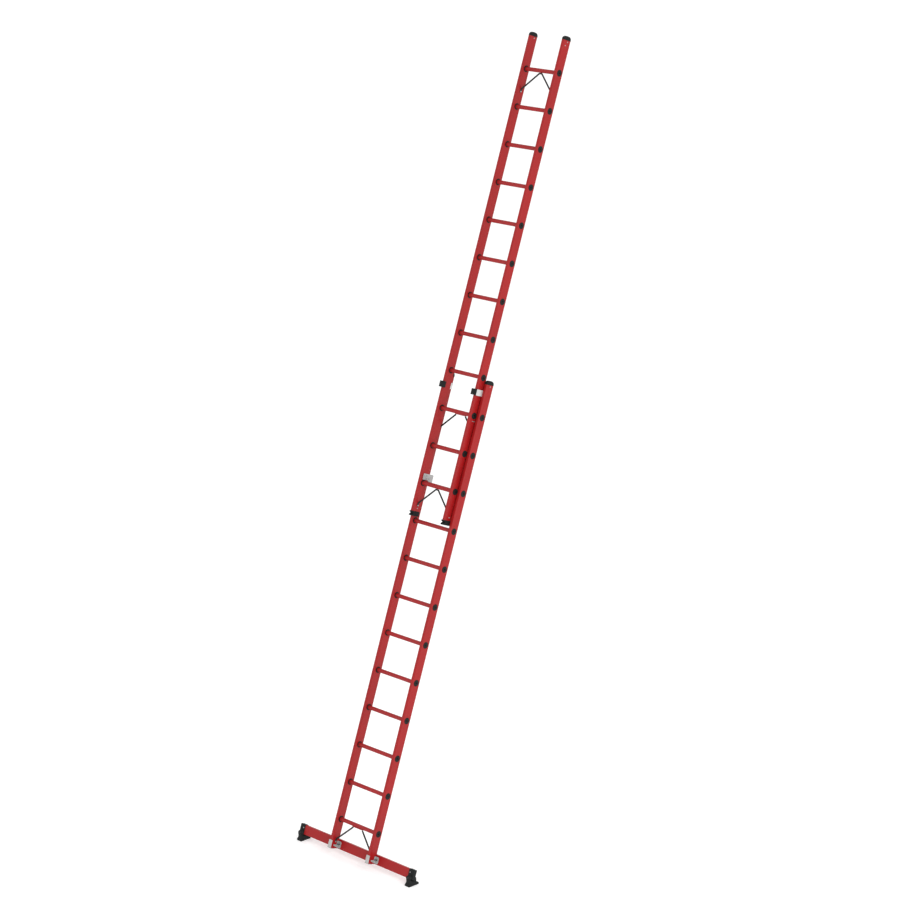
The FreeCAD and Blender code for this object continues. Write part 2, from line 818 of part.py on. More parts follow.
def stirrup(sign):
    """Front tab, a floor under the stile's front half and a plug inside the stile."""
    x = sign * LOWER.stile_x
    wrap = stile_width / 2.0 + bracket_sheet
    front = -stile_depth / 2.0
    tab = block(x - wrap, x + wrap, front - bracket_sheet, front, -bracket_sheet,
                bracket_tab_height)
    floor = block(x - wrap, x + wrap, front - bracket_sheet,
                  front - bracket_sheet + bracket_floor_depth, -bracket_sheet, 0.0)
    body = fuse([tab, floor])
    bend = edges_along(body, X_AXIS, lambda c: c.y < front - bracket_sheet + 0.1
                       and c.z < -bracket_sheet + 0.1)
    body = body.makeFillet(bracket_bend, bend)
    half_x = stile_width / 2.0 - stile_wall - plug_fit
    half_y = stile_depth / 2.0 - stile_wall - plug_fit
    plug = block(x - half_x, x + half_x, -half_y, half_y, -bracket_sheet / 2.0,
                 bracket_plug_height)
    under = block(x - wrap, x + wrap, front - bracket_sheet + bracket_floor_depth,
                  stile_depth, -bracket_sheet, 0.0)
    y, z = stile_bolt_place()
    hole = rod_x(x - stile_width, x + stile_width, y, z, stile_bolt + 2.0 * screw_fit)
    return fuse([body, plug.cut(under)]).cut(hole)


def stile_angle(sign, ear):
    """Sheet angle: a web with an arm on the stile's side and an ear on the crossbar's front."""
    x = sign * LOWER.stile_x
    near = x + ear * stile_width / 2.0
    rear = stile_depth / 2.0
    step = rear - angle_web_width
    web = plate_yz([(rear, angle_bottom), (rear, angle_top), (step, angle_top),
                    (step, angle_arm_high), (rear - angle_arm_reach, angle_arm_high),
                    (rear - angle_arm_reach, angle_arm_low)], near, near + ear * angle_sheet)
    tip = near + ear * angle_ear_width
    ear_plate = plate_xz([(near, angle_top), (near, angle_bottom), (tip - ear * angle_corner, angle_bottom),
                          (tip, angle_bottom + angle_corner), (tip, angle_top - angle_corner),
                          (tip - ear * angle_corner, angle_top)], rear - angle_sheet, rear)
    y, z = stile_bolt_place()
    holes = [rod_x(near - ear * cut_over, near + ear * (angle_sheet + cut_over), y, z,
                   stile_bolt + 2.0 * screw_fit)]
    for bolt_x, bolt_z in ear_bolt_places():
        holes.append(rod_y(bolt_x, rear - angle_sheet - cut_over, rear + cut_over, bolt_z,
                           ear_bolt_shank + 2.0 * screw_fit))
    return fuse([web, ear_plate]).cut(holes)


def stile_bracket(sign):
    """The stirrup and the two angles of one lower stile."""
    return Part.makeCompound([stirrup(sign), stile_angle(sign, -1.0), stile_angle(sign, 1.0)])


# ---------------------------------------------------------------- end housings and feet
def housing_inner_x():
    """Distance of a housing's open end from the ladder's middle."""
    return bar_half_length + housing_end_wall - housing_length


def end_housing(sign):
    """Moulded box over the crossbar's end, with a thrust ring round the foot's pin."""
    x0 = sign * housing_inner_x()
    x1 = sign * (bar_half_length + housing_end_wall)
    front = foot_y - bar_depth / 2.0 - housing_wall
    rear = foot_y + bar_depth / 2.0 + housing_wall
    body = block(x0, x1, front, rear, -housing_wall, bar_height + housing_wall)
    rounds = [e for e in body.Edges if abs(e.CenterOfMass.x - x0) > 0.1]
    body = body.makeFillet(housing_round, rounds)
    space = block(x0 - sign, sign * (bar_half_length + housing_fit),
                  foot_y - bar_depth / 2.0, foot_y + bar_depth / 2.0, 0.0, bar_height)
    x = sign * foot_x
    rings = []
    for face, out in ((front, -1.0), (rear, 1.0)):
        tip = face + out * housing_boss_height
        ring = rod_y(x, face - out * housing_wall / 2.0, tip, foot_pivot_rise, housing_boss)
        over = block(x - housing_boss, x + housing_boss, face - out * housing_wall, tip + out,
                     -housing_wall, bar_height)
        rings.append(ring.common(over))
    body = fuse([body] + rings)
    near = front - housing_boss_height - cut_over
    far = rear + housing_boss_height + cut_over
    pin = rod_y(sign * foot_x, near, far, foot_pivot_rise, foot_pin + 2.0 * foot_pin_fit)
    rivet = rod_y(sign * (housing_inner_x() + housing_rivet_inset), near, far,
                  housing_rivet_rise, rivet_shank + 2.0 * rivet_fit)
    return body.cut([space, pin, rivet])


def level(shape, x):
    """Turn a shape built level on the ground about the foot's pin into the ladder's frame."""
    placed = shape.copy()
    placed.rotate(FreeCAD.Vector(0, 0, 0), X_AXIS, lean_angle)
    placed.translate(FreeCAD.Vector(x, foot_y, foot_pivot_rise))
    return placed


def slab(half_x, y0, y1, z):
    """Closed rectangle at a height, for lofting."""
    points = [FreeCAD.Vector(-half_x, y0, z), FreeCAD.Vector(half_x, y0, z),
              FreeCAD.Vector(half_x, y1, z), FreeCAD.Vector(-half_x, y1, z)]
    return Part.makePolygon(points + points[:1])


def foot_arm_span():
    """y of the inner faces of the foot's front and rear arms."""
    reach = bar_depth / 2.0 + housing_wall + housing_boss_height + foot_side_gap
    return foot_y - reach, foot_y + reach


def foot(sign):
    """Moulded rocker: a flared sole, and two arms whose coned eyes take the pin."""
    ground = -foot_ground_drop
    front = -foot_sole_forward
    rear = front + foot_sole_length
    half = foot_sole_width / 2.0
    bottom = ground + tread_thickness
    rim = bottom + foot_flange
    waist = rim + foot_flange
    inset = foot_neck_inset
    upper_half = half - foot_flare
    base = Part.makeLoft([slab(half, front, rear, bottom), slab(half, front, rear, rim)],
                         True, True)
    flare = Part.makeLoft([slab(half, front, rear, rim),
                           slab(upper_half, front + inset, rear - inset, waist)], True, True)
    neck = Part.makeLoft([slab(upper_half, front + inset, rear - inset, waist),
                          slab(upper_half, front + inset + foot_front_draft,
                               rear - inset - foot_rear_draft, 0.0)], True, True)
    x = sign * foot_x
    body = level(fuse([base, flare, neck]), x)
    arm_front, arm_rear = foot_arm_span()
    eyes = []
    for face, tip in ((arm_front, arm_front - foot_front_reach),
                      (arm_rear, arm_rear + foot_rear_reach)):
        direction = FreeCAD.Vector(0, 1.0 if tip > face else -1.0, 0)
        eyes.append(Part.makeCone(foot_eye_root / 2.0, foot_eye_tip / 2.0, abs(tip - face),
                                  FreeCAD.Vector(x, face, foot_pivot_rise), direction))
    body = fuse([body] + eyes)
    reach = foot_sole_length
    slot = block(x - reach, x + reach, arm_front, arm_rear, -foot_floor, reach)
    pin = rod_y(x, arm_front - reach, arm_rear + reach, foot_pivot_rise,
                foot_pin + 2.0 * foot_pin_fit)
    recess = rod_y(x, arm_front - foot_front_reach + foot_recess_depth,
                   arm_front - foot_front_reach - reach, foot_pivot_rise, foot_recess)
    rear_recess = rod_y(x, arm_rear + foot_rear_reach - foot_recess_depth,
                        arm_rear + foot_rear_reach + reach, foot_pivot_rise, foot_recess)
    return body.cut([slot, pin, recess, rear_recess])


def foot_tread(sign):
    """Rubber tread under the foot, grooved across."""
    ground = -foot_ground_drop
    front = -foot_sole_forward + tread_inset
    rear = front + foot_sole_length - 2.0 * tread_inset
    half = foot_sole_width / 2.0 - tread_inset
    pad = block(-half, half, front, rear, ground, ground + tread_thickness)
    step = (rear - front) / (tread_groove_count + 1)
    grooves = []
    for index in range(tread_groove_count):
        middle = front + step * (index + 1)
        grooves.append(block(-half - cut_over, half + cut_over, middle - tread_groove / 2.0,
                             middle + tread_groove / 2.0, ground - cut_over,
                             ground + tread_groove_depth))
    return level(pad.cut(grooves), sign * foot_x)


def foot_pins():
    """Bolts that the feet rock on, with a round head in front and a nut behind."""
    pins = []
    arm_front, arm_rear = foot_arm_span()
    front_seat = arm_front - foot_front_reach + foot_recess_depth
    rear_seat = arm_rear + foot_rear_reach - foot_recess_depth
    play = foot_side_gap
    for _, sign in SIDES:
        x = sign * foot_x
        shank = rod_y(x, front_seat - play, rear_seat + play, foot_pivot_rise, foot_pin)
        head = rod_y(x, front_seat - play - foot_pin_head_height, front_seat - play,
                     foot_pivot_rise, foot_pin_head)
        nut = rod_y(x, rear_seat + play, rear_seat + play + foot_pin_head_height,
                    foot_pivot_rise, foot_pin_head)
        pins.append(fuse([shank, head, nut]))
    return pins


# ---------------------------------------------------------------- assembly
def build():
    """Every node's shape in the ladder's frame, by name."""
    nodes = {}
    for section in (LOWER, UPPER):
        for side, sign in SIDES:
            nodes[section.name + "_stile_" + side] = stile(section, sign)
            nodes[section.name + "_top_cap_" + side] = top_cap(section, sign)
        for index in range(rung_count):
            nodes["%s_rung_%02d" % (section.name, index + 1)] = rung(section, index)
        nodes[section.name + "_rung_bushes"] = rung_bushes(section)
    nodes["upper_stay_bottom"] = v_stay(UPPER, UPPER.first_rung)
    nodes["upper_stay_top"] = v_stay(UPPER, UPPER.last_rung())
    nodes["lower_stays_bottom"] = split_stays(LOWER, LOWER.first_rung)
    nodes["lower_stays_top"] = split_stays(LOWER, LOWER.last_rung())
    nodes["stay_saddles"] = Part.makeCompound([stay_saddle(LOWER, LOWER.first_rung),
                                               stay_saddle(LOWER, LOWER.last_rung())])
    for side, sign in SIDES:
        nodes["upper_shoe_" + side] = upper_shoe(sign)
        nodes["guide_plate_" + side] = guide_plate(sign)
        nodes["guide_block_" + side] = guide_block(sign)
        nodes["rung_hook_" + side] = rung_hook(sign)
        nodes["stile_bracket_" + side] = stile_bracket(sign)
        nodes["end_housing_" + side] = end_housing(sign)
        nodes["foot_" + side] = foot(sign)
        nodes["foot_tread_" + side] = foot_tread(sign)
    nodes["crossbar"] = crossbar()
    nodes["upper_rivets"] = Part.makeCompound(section_rivets(UPPER) + head_studs())
    nodes["lower_rivets"] = Part.makeCompound(section_rivets(LOWER) + housing_rivets())
    nodes["upper_screws"] = Part.makeCompound(stay_screws(UPPER) + hook_pins())
    nodes["lower_screws"] = Part.makeCompound(stay_screws(LOWER) + guide_screws()
                                              + ear_bolts() + stile_bolts() + foot_pins())
    return nodes


def lean(shape):
    """Lean a shape back from the ladder's frame to the standing position."""
    leaned = shape.copy()
    leaned.rotate(FreeCAD.Vector(0, 0, 0), X_AXIS, -lean_angle)
    return leaned


def standing_shift(shapes):
    """Move that puts the middle of the ladder's footprint box at the origin, soles on 0."""
    boxes = [shape.optimalBoundingBox(False, False) for shape in shapes]
    y_low = min(box.YMin for box in boxes)
    y_high = max(box.YMax for box in boxes)
    return FreeCAD.Vector(0.0, -(y_low + y_high) / 2.0, -min(box.ZMin for box in boxes))


def place(point, shift):
    """A point of the ladder's frame in the standing frame."""
    angle = math.radians(lean_angle)
    y = point.y * math.cos(angle) + point.z * math.sin(angle)
    z = -point.y * math.sin(angle) + point.z * math.cos(angle)
    return FreeCAD.Vector(point.x, y, z).add(shift)


nodes = {name: lean(shape) for name, shape in build().items()}
shift = standing_shift(nodes.values())
for name, shape in nodes.items():
    shape.translate(shift)
    shape.exportStep("parts/" + name + ".step")

pivot_y, pivot_z = hook_pivot()
points = {
    "shift": shift,
    "hook pivot": place(FreeCAD.Vector(UPPER.inner_x, pivot_y, pivot_z), shift),
    "foot pivot": place(FreeCAD.Vector(foot_x, foot_y, foot_pivot_rise), shift),
    "upper stile top, rear": place(FreeCAD.Vector(UPPER.stile_x, UPPER.y + stile_depth / 2.0,
                                                  UPPER.end), shift),
}
for name, point in points.items():
    print("%-24s %10.3f %10.3f %10.3f" % (name, point.x, point.y, point.z))
print("nodes", len(nodes))
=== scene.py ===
import json
import math

import bpy
import numpy as np
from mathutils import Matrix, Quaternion, Vector


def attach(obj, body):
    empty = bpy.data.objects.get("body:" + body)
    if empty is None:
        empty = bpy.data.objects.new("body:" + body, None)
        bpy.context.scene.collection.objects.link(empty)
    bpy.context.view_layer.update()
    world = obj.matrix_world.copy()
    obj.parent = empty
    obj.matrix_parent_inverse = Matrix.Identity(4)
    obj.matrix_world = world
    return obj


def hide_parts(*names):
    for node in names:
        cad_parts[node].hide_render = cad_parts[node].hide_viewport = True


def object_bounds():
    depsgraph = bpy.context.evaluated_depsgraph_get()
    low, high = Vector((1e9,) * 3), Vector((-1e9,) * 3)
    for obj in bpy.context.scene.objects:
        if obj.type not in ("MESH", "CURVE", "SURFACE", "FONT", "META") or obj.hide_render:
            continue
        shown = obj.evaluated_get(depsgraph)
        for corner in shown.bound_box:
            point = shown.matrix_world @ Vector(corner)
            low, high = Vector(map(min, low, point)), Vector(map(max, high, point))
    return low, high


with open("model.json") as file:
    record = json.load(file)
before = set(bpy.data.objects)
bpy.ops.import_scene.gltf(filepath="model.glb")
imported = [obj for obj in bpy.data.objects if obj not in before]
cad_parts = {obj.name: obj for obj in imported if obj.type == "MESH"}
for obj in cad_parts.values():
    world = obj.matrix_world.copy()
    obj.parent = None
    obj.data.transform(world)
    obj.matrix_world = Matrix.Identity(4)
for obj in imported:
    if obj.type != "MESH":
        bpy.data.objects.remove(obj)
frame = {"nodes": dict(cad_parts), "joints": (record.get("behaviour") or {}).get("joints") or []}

cad_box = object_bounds()

# ---------------------------------------------------------------- the lower stiles
# Two hollow pultruded glass-fibre rectangles, pigmented red right through, with the
# glass rovings running lengthwise under a thin satin resin skin. They are sawn to
# length and drilled for the rungs; nothing is painted on.
MM = 0.001
SIDES = (("left", -1.0), ("right", 1.0))
slide = next(joint for joint in frame["joints"] if joint["name"] == "upper_section_slide")
UP = np.array(slide["axis"], float) / np.linalg.norm(slide["axis"])
BACK = np.array([0.0, UP[2], -UP[1]])
LEAN = math.atan2(UP[1], UP[2])


def node_points(node):
    """All corners of a CAD node as an array of points in the standing frame."""
    corners = frame["nodes"][node].data.vertices
    flat = np.empty(len(corners) * 3)
    corners.foreach_get("co", flat)
    return flat.reshape(-1, 3)


foot_of_stile = node_points("lower_stile_left")
ORIGIN = (UP * (foot_of_stile @ UP).min()
          + BACK * ((foot_of_stile @ BACK).min() + (foot_of_stile @ BACK).max()) / 2.0)


def span(node):
    """Low and high corner of a CAD node in the ladder's own axes.

    x runs across, y is the distance along BACK and z the distance along UP,
    both counted from the middle of the lower stiles' ends.
    """
    points = node_points(node)
    own = np.stack([points[:, 0], (points - ORIGIN) @ BACK, (points - ORIGIN) @ UP], 1)
    return own.min(0), own.max(0)


def stand(points):
    """Ladder axes to the standing frame: x across plus y times BACK plus z times UP."""
    points = np.asarray(points, float)
    across = points[..., :1] * np.array([1.0, 0.0, 0.0])
    return across + points[..., 1:2] * BACK + points[..., 2:3] * UP + ORIGIN


def grain_group():
    """Node group: streaks drawn out along one axis of the ladder, plus broad soft clouds.

    The object's coordinates are turned upright about X, squeezed by the stretch vector
    and fed to two noises, whose weighted sum is the tone and whose fine part is the height.
    """
    group = bpy.data.node_groups.new("drawn_grain", "ShaderNodeTree")
    face = group.interface
    for name, kind, value in (("Stretch", "NodeSocketVector", (1.0, 1.0, 1.0)),
                              ("Streak Scale", "NodeSocketFloat", 300.0),
                              ("Cloud Scale", "NodeSocketFloat", 3.0),
                              ("Low Rough", "NodeSocketFloat", 0.3),
                              ("High Rough", "NodeSocketFloat", 0.5)):
        face.new_socket(name, in_out="INPUT", socket_type=kind).default_value = value
    for name in ("Tone", "Height", "Roughness"):
        face.new_socket(name, in_out="OUTPUT", socket_type="NodeSocketFloat")
    nodes, links = group.nodes, group.links
    inputs = nodes.new("NodeGroupInput")
    outputs = nodes.new("NodeGroupOutput")
    where = nodes.new("ShaderNodeTexCoord")
    upright = nodes.new("ShaderNodeMapping")
    upright.inputs["Rotation"].default_value = (LEAN, 0.0, 0.0)
    squeeze = nodes.new("ShaderNodeVectorMath")
    squeeze.operation = "MULTIPLY"
    streaks = nodes.new("ShaderNodeTexNoise")
    streaks.inputs["Detail"].default_value = 5.0
    clouds = nodes.new("ShaderNodeTexNoise")
    clouds.inputs["Detail"].default_value = 3.0
    tone = nodes.new("ShaderNodeMix")
    tone.inputs["Factor"].default_value = 0.45
    spread = nodes.new("ShaderNodeMapRange")
    spread.inputs["From Min"].default_value = 0.3
    spread.inputs["From Max"].default_value = 0.7
    links.new(where.outputs["Object"], upright.inputs["Vector"])
    links.new(upright.outputs["Vector"], squeeze.inputs[0])
    links.new(inputs.outputs["Stretch"], squeeze.inputs[1])
    links.new(squeeze.outputs["Vector"], streaks.inputs["Vector"])
    links.new(inputs.outputs["Streak Scale"], streaks.inputs["Scale"])
    links.new(upright.outputs["Vector"], clouds.inputs["Vector"])
    links.new(inputs.outputs["Cloud Scale"], clouds.inputs["Scale"])
    links.new(streaks.outputs["Fac"], tone.inputs["A"])
    links.new(clouds.outputs["Fac"], tone.inputs["B"])
    links.new(tone.outputs["Result"], spread.inputs["Value"])
    links.new(inputs.outputs["Low Rough"], spread.inputs["To Min"])
    links.new(inputs.outputs["High Rough"], spread.inputs["To Max"])
    links.new(tone.outputs["Result"], outputs.inputs["Tone"])
    links.new(streaks.outputs["Fac"], outputs.inputs["Height"])
    links.new(spread.outputs["Result"], outputs.inputs["Roughness"])
    return group


def grained(name, dark, light, stretch, streaks, rough, bump, clouds=3.0, metal=0.0, gloss=0.5):
    """A material whose colour runs from dark to light with the tone of the drawn grain.

    stretch squeezes the grain across an axis, rough is the low and high roughness,
    and bump is the depth in metres of the finest relief.
    """
    material = bpy.data.materials.new(name)
    material.use_nodes = True
    nodes, links = material.node_tree.nodes, material.node_tree.links
    shader = nodes["Principled BSDF"]
    shader.inputs["Metallic"].default_value = metal
    shader.inputs["Specular IOR Level"].default_value = gloss
    group = bpy.data.node_groups.get("drawn_grain") or grain_group()
    grain = nodes.new("ShaderNodeGroup")
    grain.node_tree = group
    grain.inputs["Stretch"].default_value = stretch
    grain.inputs["Streak Scale"].default_value = streaks
    grain.inputs["Cloud Scale"].default_value = clouds
    grain.inputs["Low Rough"].default_value = rough[0]
    grain.inputs["High Rough"].default_value = rough[1]
    ramp = nodes.new("ShaderNodeValToRGB")
    ramp.color_ramp.elements[0].position = 0.32
    ramp.color_ramp.elements[0].color = (*dark, 1.0)
    ramp.color_ramp.elements[1].position = 0.68
    ramp.color_ramp.elements[1].color = (*light, 1.0)
    relief = nodes.new("ShaderNodeBump")
    relief.inputs["Distance"].default_value = bump
    links.new(grain.outputs["Tone"], ramp.inputs["Fac"])
    links.new(ramp.outputs["Color"], shader.inputs["Base Color"])
    links.new(grain.outputs["Roughness"], shader.inputs["Roughness"])
    links.new(grain.outputs["Height"], relief.inputs["Height"])
    links.new(relief.outputs["Normal"], shader.inputs["Normal"])
    return material


def finish_node(node, material):
    """The CAD node keeps its shape and takes this material in every slot."""
    mesh = frame["nodes"][node].data
    mesh.materials.clear()
    mesh.materials.append(material)


stile_red = grained("pultruded_red", dark=(0.262, 0.0040, 0.0049), light=(0.338, 0.0058, 0.0069),
                    stretch=(1.0, 1.0, 0.012), streaks=420.0, rough=(0.32, 0.48), bump=0.00005, gloss=0.30)
for side, sign in SIDES:
    finish_node("lower_stile_" + side, stile_red)

# ---------------------------------------------------------------- the upper stiles
# The same pultruded glass-fibre profile, set narrower apart, so that the upper section
# slides in front of the lower one. They are sawn and drilled as the lower stiles are.
for side, sign in SIDES:
    finish_node("upper_stile_" + side, stile_red)

# ---------------------------------------------------------------- the rungs
# Twelve ribbed round tubes to a section, of the same red glass-fibre, with shallow
# lengthwise flutes that keep a boot from slipping. Their ends run through both walls of
# the stiles and are held in the bushes.
RUNG_FLUTES = 16
FLUTE_DEPTH = 0.8 * MM
RUNG_WALL = 2.5 * MM
RUNG_CORNER = 0.5 * MM


def skin(rings, wrap=False):
    """A closed skin over rings of points, as (corners, faces).

    Point j of one ring joins point j of the next. Open stacks end in a flat face at each
    end; with wrap the last ring joins the first, as round a ring with a hole in it.
    """
    rings = np.asarray(rings, float)
    count, around = rings.shape[:2]
    here = np.arange(count if wrap else count - 1)[:, None]
    there = (here + 1) % count
    j = np.arange(around)[None, :]
    k = (j + 1) % around
    quads = np.stack([here * around + j, here * around + k,
                      there * around + k, there * around + j], -1)
    corners = rings.reshape(-1, 3)
    quads = quads.reshape(-1, 4)
    a, b, c, d = (corners[quads[:, n]] for n in range(4))
    middle = corners.mean(0)
    volume = (np.cross(b - a, d - b) * (a - middle)).sum() + (np.cross(c - b, d - c) * (b - middle)).sum()
    faces = quads.tolist()
    if not wrap:
        ends = np.array([np.arange(around)[::-1], np.arange(around) + (count - 1) * around])
        for end in ends:
            fan = corners[end] - corners[end].mean(0)
            volume += (np.cross(fan, np.roll(fan, -1, 0)).sum(0) * (corners[end].mean(0) - middle)).sum()
        faces += ends.tolist()
    if volume < 0.0:
        faces = [face[::-1] for face in faces]
    return corners, faces


def piece(name, shells, material, sharp=35.0):
    """One mesh object from several closed skins given in the ladder's axes.

    Faces that meet at less than the sharp angle, in degrees, are shaded as one surface.
    """
    corners, faces, first = [], [], 0
    for points, polygons in shells:
        corners.append(stand(points))
        faces.extend([[first + index for index in polygon] for polygon in polygons])
        first += len(points)
    mesh = bpy.data.meshes.new(name)
    mesh.from_pydata(np.concatenate(corners).tolist(), [], faces)
    mesh.materials.append(material)
    mesh.shade_smooth()
    mesh.set_sharp_from_angle(angle=math.radians(sharp))
    made = bpy.data.objects.new(name, mesh)
    bpy.context.scene.collection.objects.link(made)
    return made


def fluted_tube(middle, half_length, radius):
    """Fluted tube along x, as one ring-shaped skin.

    The outer radius dips by the flute depth times the fourth power of the cosine of half
    the flute angle; the wall is closed over both ends, with a small chamfer outside.
    """
    turn = np.linspace(0.0, 2.0 * math.pi, RUNG_FLUTES * 8, endpoint=False)
    outer = radius - FLUTE_DEPTH * np.cos(turn * RUNG_FLUTES / 2.0) ** 4
    inner = np.full_like(turn, radius - RUNG_WALL)
    stations = ((inner, -half_length), (outer - RUNG_CORNER, -half_length),
                (outer, -half_length + RUNG_CORNER), (outer, half_length - RUNG_CORNER),
                (outer - RUNG_CORNER, half_length), (inner, half_length))
    rings = [np.column_stack([np.full_like(turn, x), middle[1] + r * np.cos(turn),
                              middle[2] + r * np.sin(turn)]) for r, x in stations]
    return skin(rings, wrap=True)


rung_red = grained("ribbed_red", dark=(0.270, 0.0042, 0.0052), light=(0.345, 0.0062, 0.0074),
                   stretch=(0.015, 1.0, 1.0), streaks=500.0, rough=(0.36, 0.52), bump=0.00005, gloss=0.38)
for section in ("lower", "upper"):
    for index in range(1, 13):
        node = "%s_rung_%02d" % (section, index)
        low, high = span(node)
        tube = piece(node + "_tube",
                     [fluted_tube((low + high) / 2.0, high[0], (high[2] - low[2]) / 2.0)], rung_red)
        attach(tube, section + "_section")
        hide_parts(node)

# ---------------------------------------------------------------- collars and end caps
# Black moulded polyamide bushes. A flanged collar is pushed into the stile from inside
# round each rung end, and a round cap from outside; the cap has a rolled rim, a sunk
# ring and a centre hole that shows the inside of the rung.
COLLAR_RADIUS = 23.75 * MM
COLLAR_HEIGHT = 1.8 * MM
CAP_RADIUS = 24.25 * MM
CAP_HEIGHT = 1.4 * MM
CAP_HOLE = 5.5 * MM
BUSH_RADIUS = 17.4 * MM
RUNG_SEAT = 15.05 * MM
BUSH_DEPTH = 9.0 * MM


def lathe(profile, centre, axis, ring=False, steps=48):
    """Solid of revolution about a line through centre along axis 'x' or 'y'.

    Each profile point is (radius, height): it goes round at that radius, moved along the
    axis by that height. With ring the profile is a closed loop off the axis.
    """
    profile = np.asarray(profile, float)
    turn = np.linspace(0.0, 2.0 * math.pi, steps, endpoint=False)
    first = profile[:, :1] * np.cos(turn)
    second = profile[:, :1] * np.sin(turn)
    height = np.broadcast_to(profile[:, 1:], first.shape)
    order = (height, first, second) if axis == "x" else (first, height, second)
    rings = np.stack(order, -1) + np.asarray(centre, float)
    return skin(rings.transpose(1, 0, 2) if ring else rings, wrap=ring)


def grain_free(name, colour, rough, speckle, bump, clouds=14.0, gloss=0.5):
    """A moulded plastic: spark-eroded speckle in bump and roughness, clouds in the colour."""
    shade = tuple(0.72 * c for c in colour)
    return grained(name, dark=shade, light=colour, stretch=(1.0, 1.0, 1.0), streaks=speckle,
                   rough=rough, bump=bump, clouds=clouds, gloss=gloss)


moulded_black = grain_free("moulded_black", (0.0110, 0.0130, 0.0130), rough=(0.42, 0.62),
                           speckle=1500.0, bump=0.00012, gloss=0.14)
collar_profile = [(RUNG_SEAT, -BUSH_DEPTH), (BUSH_RADIUS, -BUSH_DEPTH), (BUSH_RADIUS, 0.0),
                  (COLLAR_RADIUS, 0.0), (COLLAR_RADIUS, 1.1 * MM), (COLLAR_RADIUS - 0.3 * MM, 1.6 * MM),
                  (COLLAR_RADIUS - 0.9 * MM, COLLAR_HEIGHT), (RUNG_SEAT + 2.4 * MM, COLLAR_HEIGHT),
                  (RUNG_SEAT + 2.0 * MM, 1.3 * MM), (RUNG_SEAT + 1.3 * MM, 1.3 * MM),
                  (RUNG_SEAT + 0.9 * MM, COLLAR_HEIGHT), (RUNG_SEAT + 0.3 * MM, COLLAR_HEIGHT),
                  (RUNG_SEAT, 1.5 * MM)]
cap_profile = [(RUNG_SEAT, -BUSH_DEPTH), (BUSH_RADIUS, -BUSH_DEPTH), (BUSH_RADIUS, 0.0),
               (CAP_RADIUS, 0.0), (CAP_RADIUS, 0.7 * MM), (CAP_RADIUS - 0.25 * MM, 1.15 * MM),
               (CAP_RADIUS - 0.7 * MM, CAP_HEIGHT), (CAP_RADIUS - 2.6 * MM, CAP_HEIGHT),
               (CAP_RADIUS - 3.1 * MM, 0.9 * MM), (CAP_HOLE + 3.2 * MM, 0.9 * MM),
               (CAP_HOLE + 2.6 * MM, CAP_HEIGHT), (CAP_HOLE + 0.5 * MM, CAP_HEIGHT),
               (CAP_HOLE, 1.0 * MM), (CAP_HOLE, 0.0), (RUNG_SEAT, 0.0)]
for section in ("lower", "upper"):
    low, high = span(section + "_stile_right")
    collars, end_caps = [], []
    for index in range(1, 13):
        rung_low, rung_high = span("%s_rung_%02d" % (section, index))
        y, z = (rung_low + rung_high)[1:] / 2.0
        for side, sign in SIDES:
            inward = [(r, -sign * h) for r, h in collar_profile]
            outward = [(r, sign * h) for r, h in cap_profile]
            collars.append(lathe(inward, (sign * low[0], y, z), "x", ring=True))
            end_caps.append(lathe(outward, (sign * high[0], y, z), "x", ring=True))
    for name, shells in (("_rung_collars", collars), ("_rung_end_caps", end_caps)):
        bushes = piece(section + name, shells, moulded_black)
        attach(bushes, section + "_section")
        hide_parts(section + "_rung_bushes")

# ---------------------------------------------------------------- stile top caps
# Moulded caps, crowned from front to back, that plug the four stile tops. A small
# shoulder stands proud of the stile all round, and a fine groove parts it from the crown.
CAP_PROUD = 1.2 * MM
CAP_SLACK = 0.2 * MM
CAP_SHOULDER = 7.0 * MM
CAP_RISE = 23.6 * MM
CROWN_RUN = 27.0 * MM
CROWN_EDGE = 5.0 * MM


def rounded_ring(half_x, half_y, corner, steps=6):
    """Rectangle with round corners, as (x, y) points counted anticlockwise."""
    turn = np.linspace(0.0, math.pi / 2.0, steps)
    quarter = np.arange(4)[:, None] * math.pi / 2.0
    centre_x = (half_x - corner) * np.array([1.0, -1.0, -1.0, 1.0])[:, None]
    centre_y = (half_y - corner) * np.array([1.0, 1.0, -1.0, -1.0])[:, None]
    x = centre_x + corner * np.cos(turn + quarter)
    y = centre_y + corner * np.sin(turn + quarter)
    return np.stack([x.ravel(), y.ravel()], 1)


def crowned_cap(middle, base, half_x, half_y):
    """Cap as a stack of rounded rectangles.

    Above the shoulder the front and back close in by the crown's run times one minus the
    cosine of an angle while the height grows with its sine; the sides follow with the
    edge radius near the top.
    """
    groove = 0.4 * MM
    rows = [(half_x, half_y, 0.0), (half_x, half_y, CAP_SHOULDER - 1.2 * MM),
            (half_x - groove, half_y - groove, CAP_SHOULDER - 0.9 * MM),
            (half_x - groove, half_y - groove, CAP_SHOULDER - 0.3 * MM),
            (half_x, half_y, CAP_SHOULDER)]
    angle = np.linspace(0.0, math.pi / 2.0, 14)[1:]
    height = CAP_SHOULDER + CAP_RISE * np.sin(angle)
    run_y = CROWN_RUN * (1.0 - np.cos(angle))
    left = np.clip((height - (CAP_SHOULDER + CAP_RISE - CROWN_EDGE)) / CROWN_EDGE, 0.0, 1.0)
    run_x = CROWN_EDGE * (1.0 - np.sqrt(1.0 - left ** 2)) + 1.5 * MM * np.sin(angle)
    rows += list(zip(half_x - run_x, half_y - run_y, height))
    rings = []
    for wide, deep, high in rows:
        ring = rounded_ring(wide, deep, min(4.2 * MM, 0.6 * wide))
        rings.append(np.column_stack([ring[:, 0] + middle[0], ring[:, 1] + middle[1],
                                      np.full(len(ring), base + high)]))
    return skin(rings)


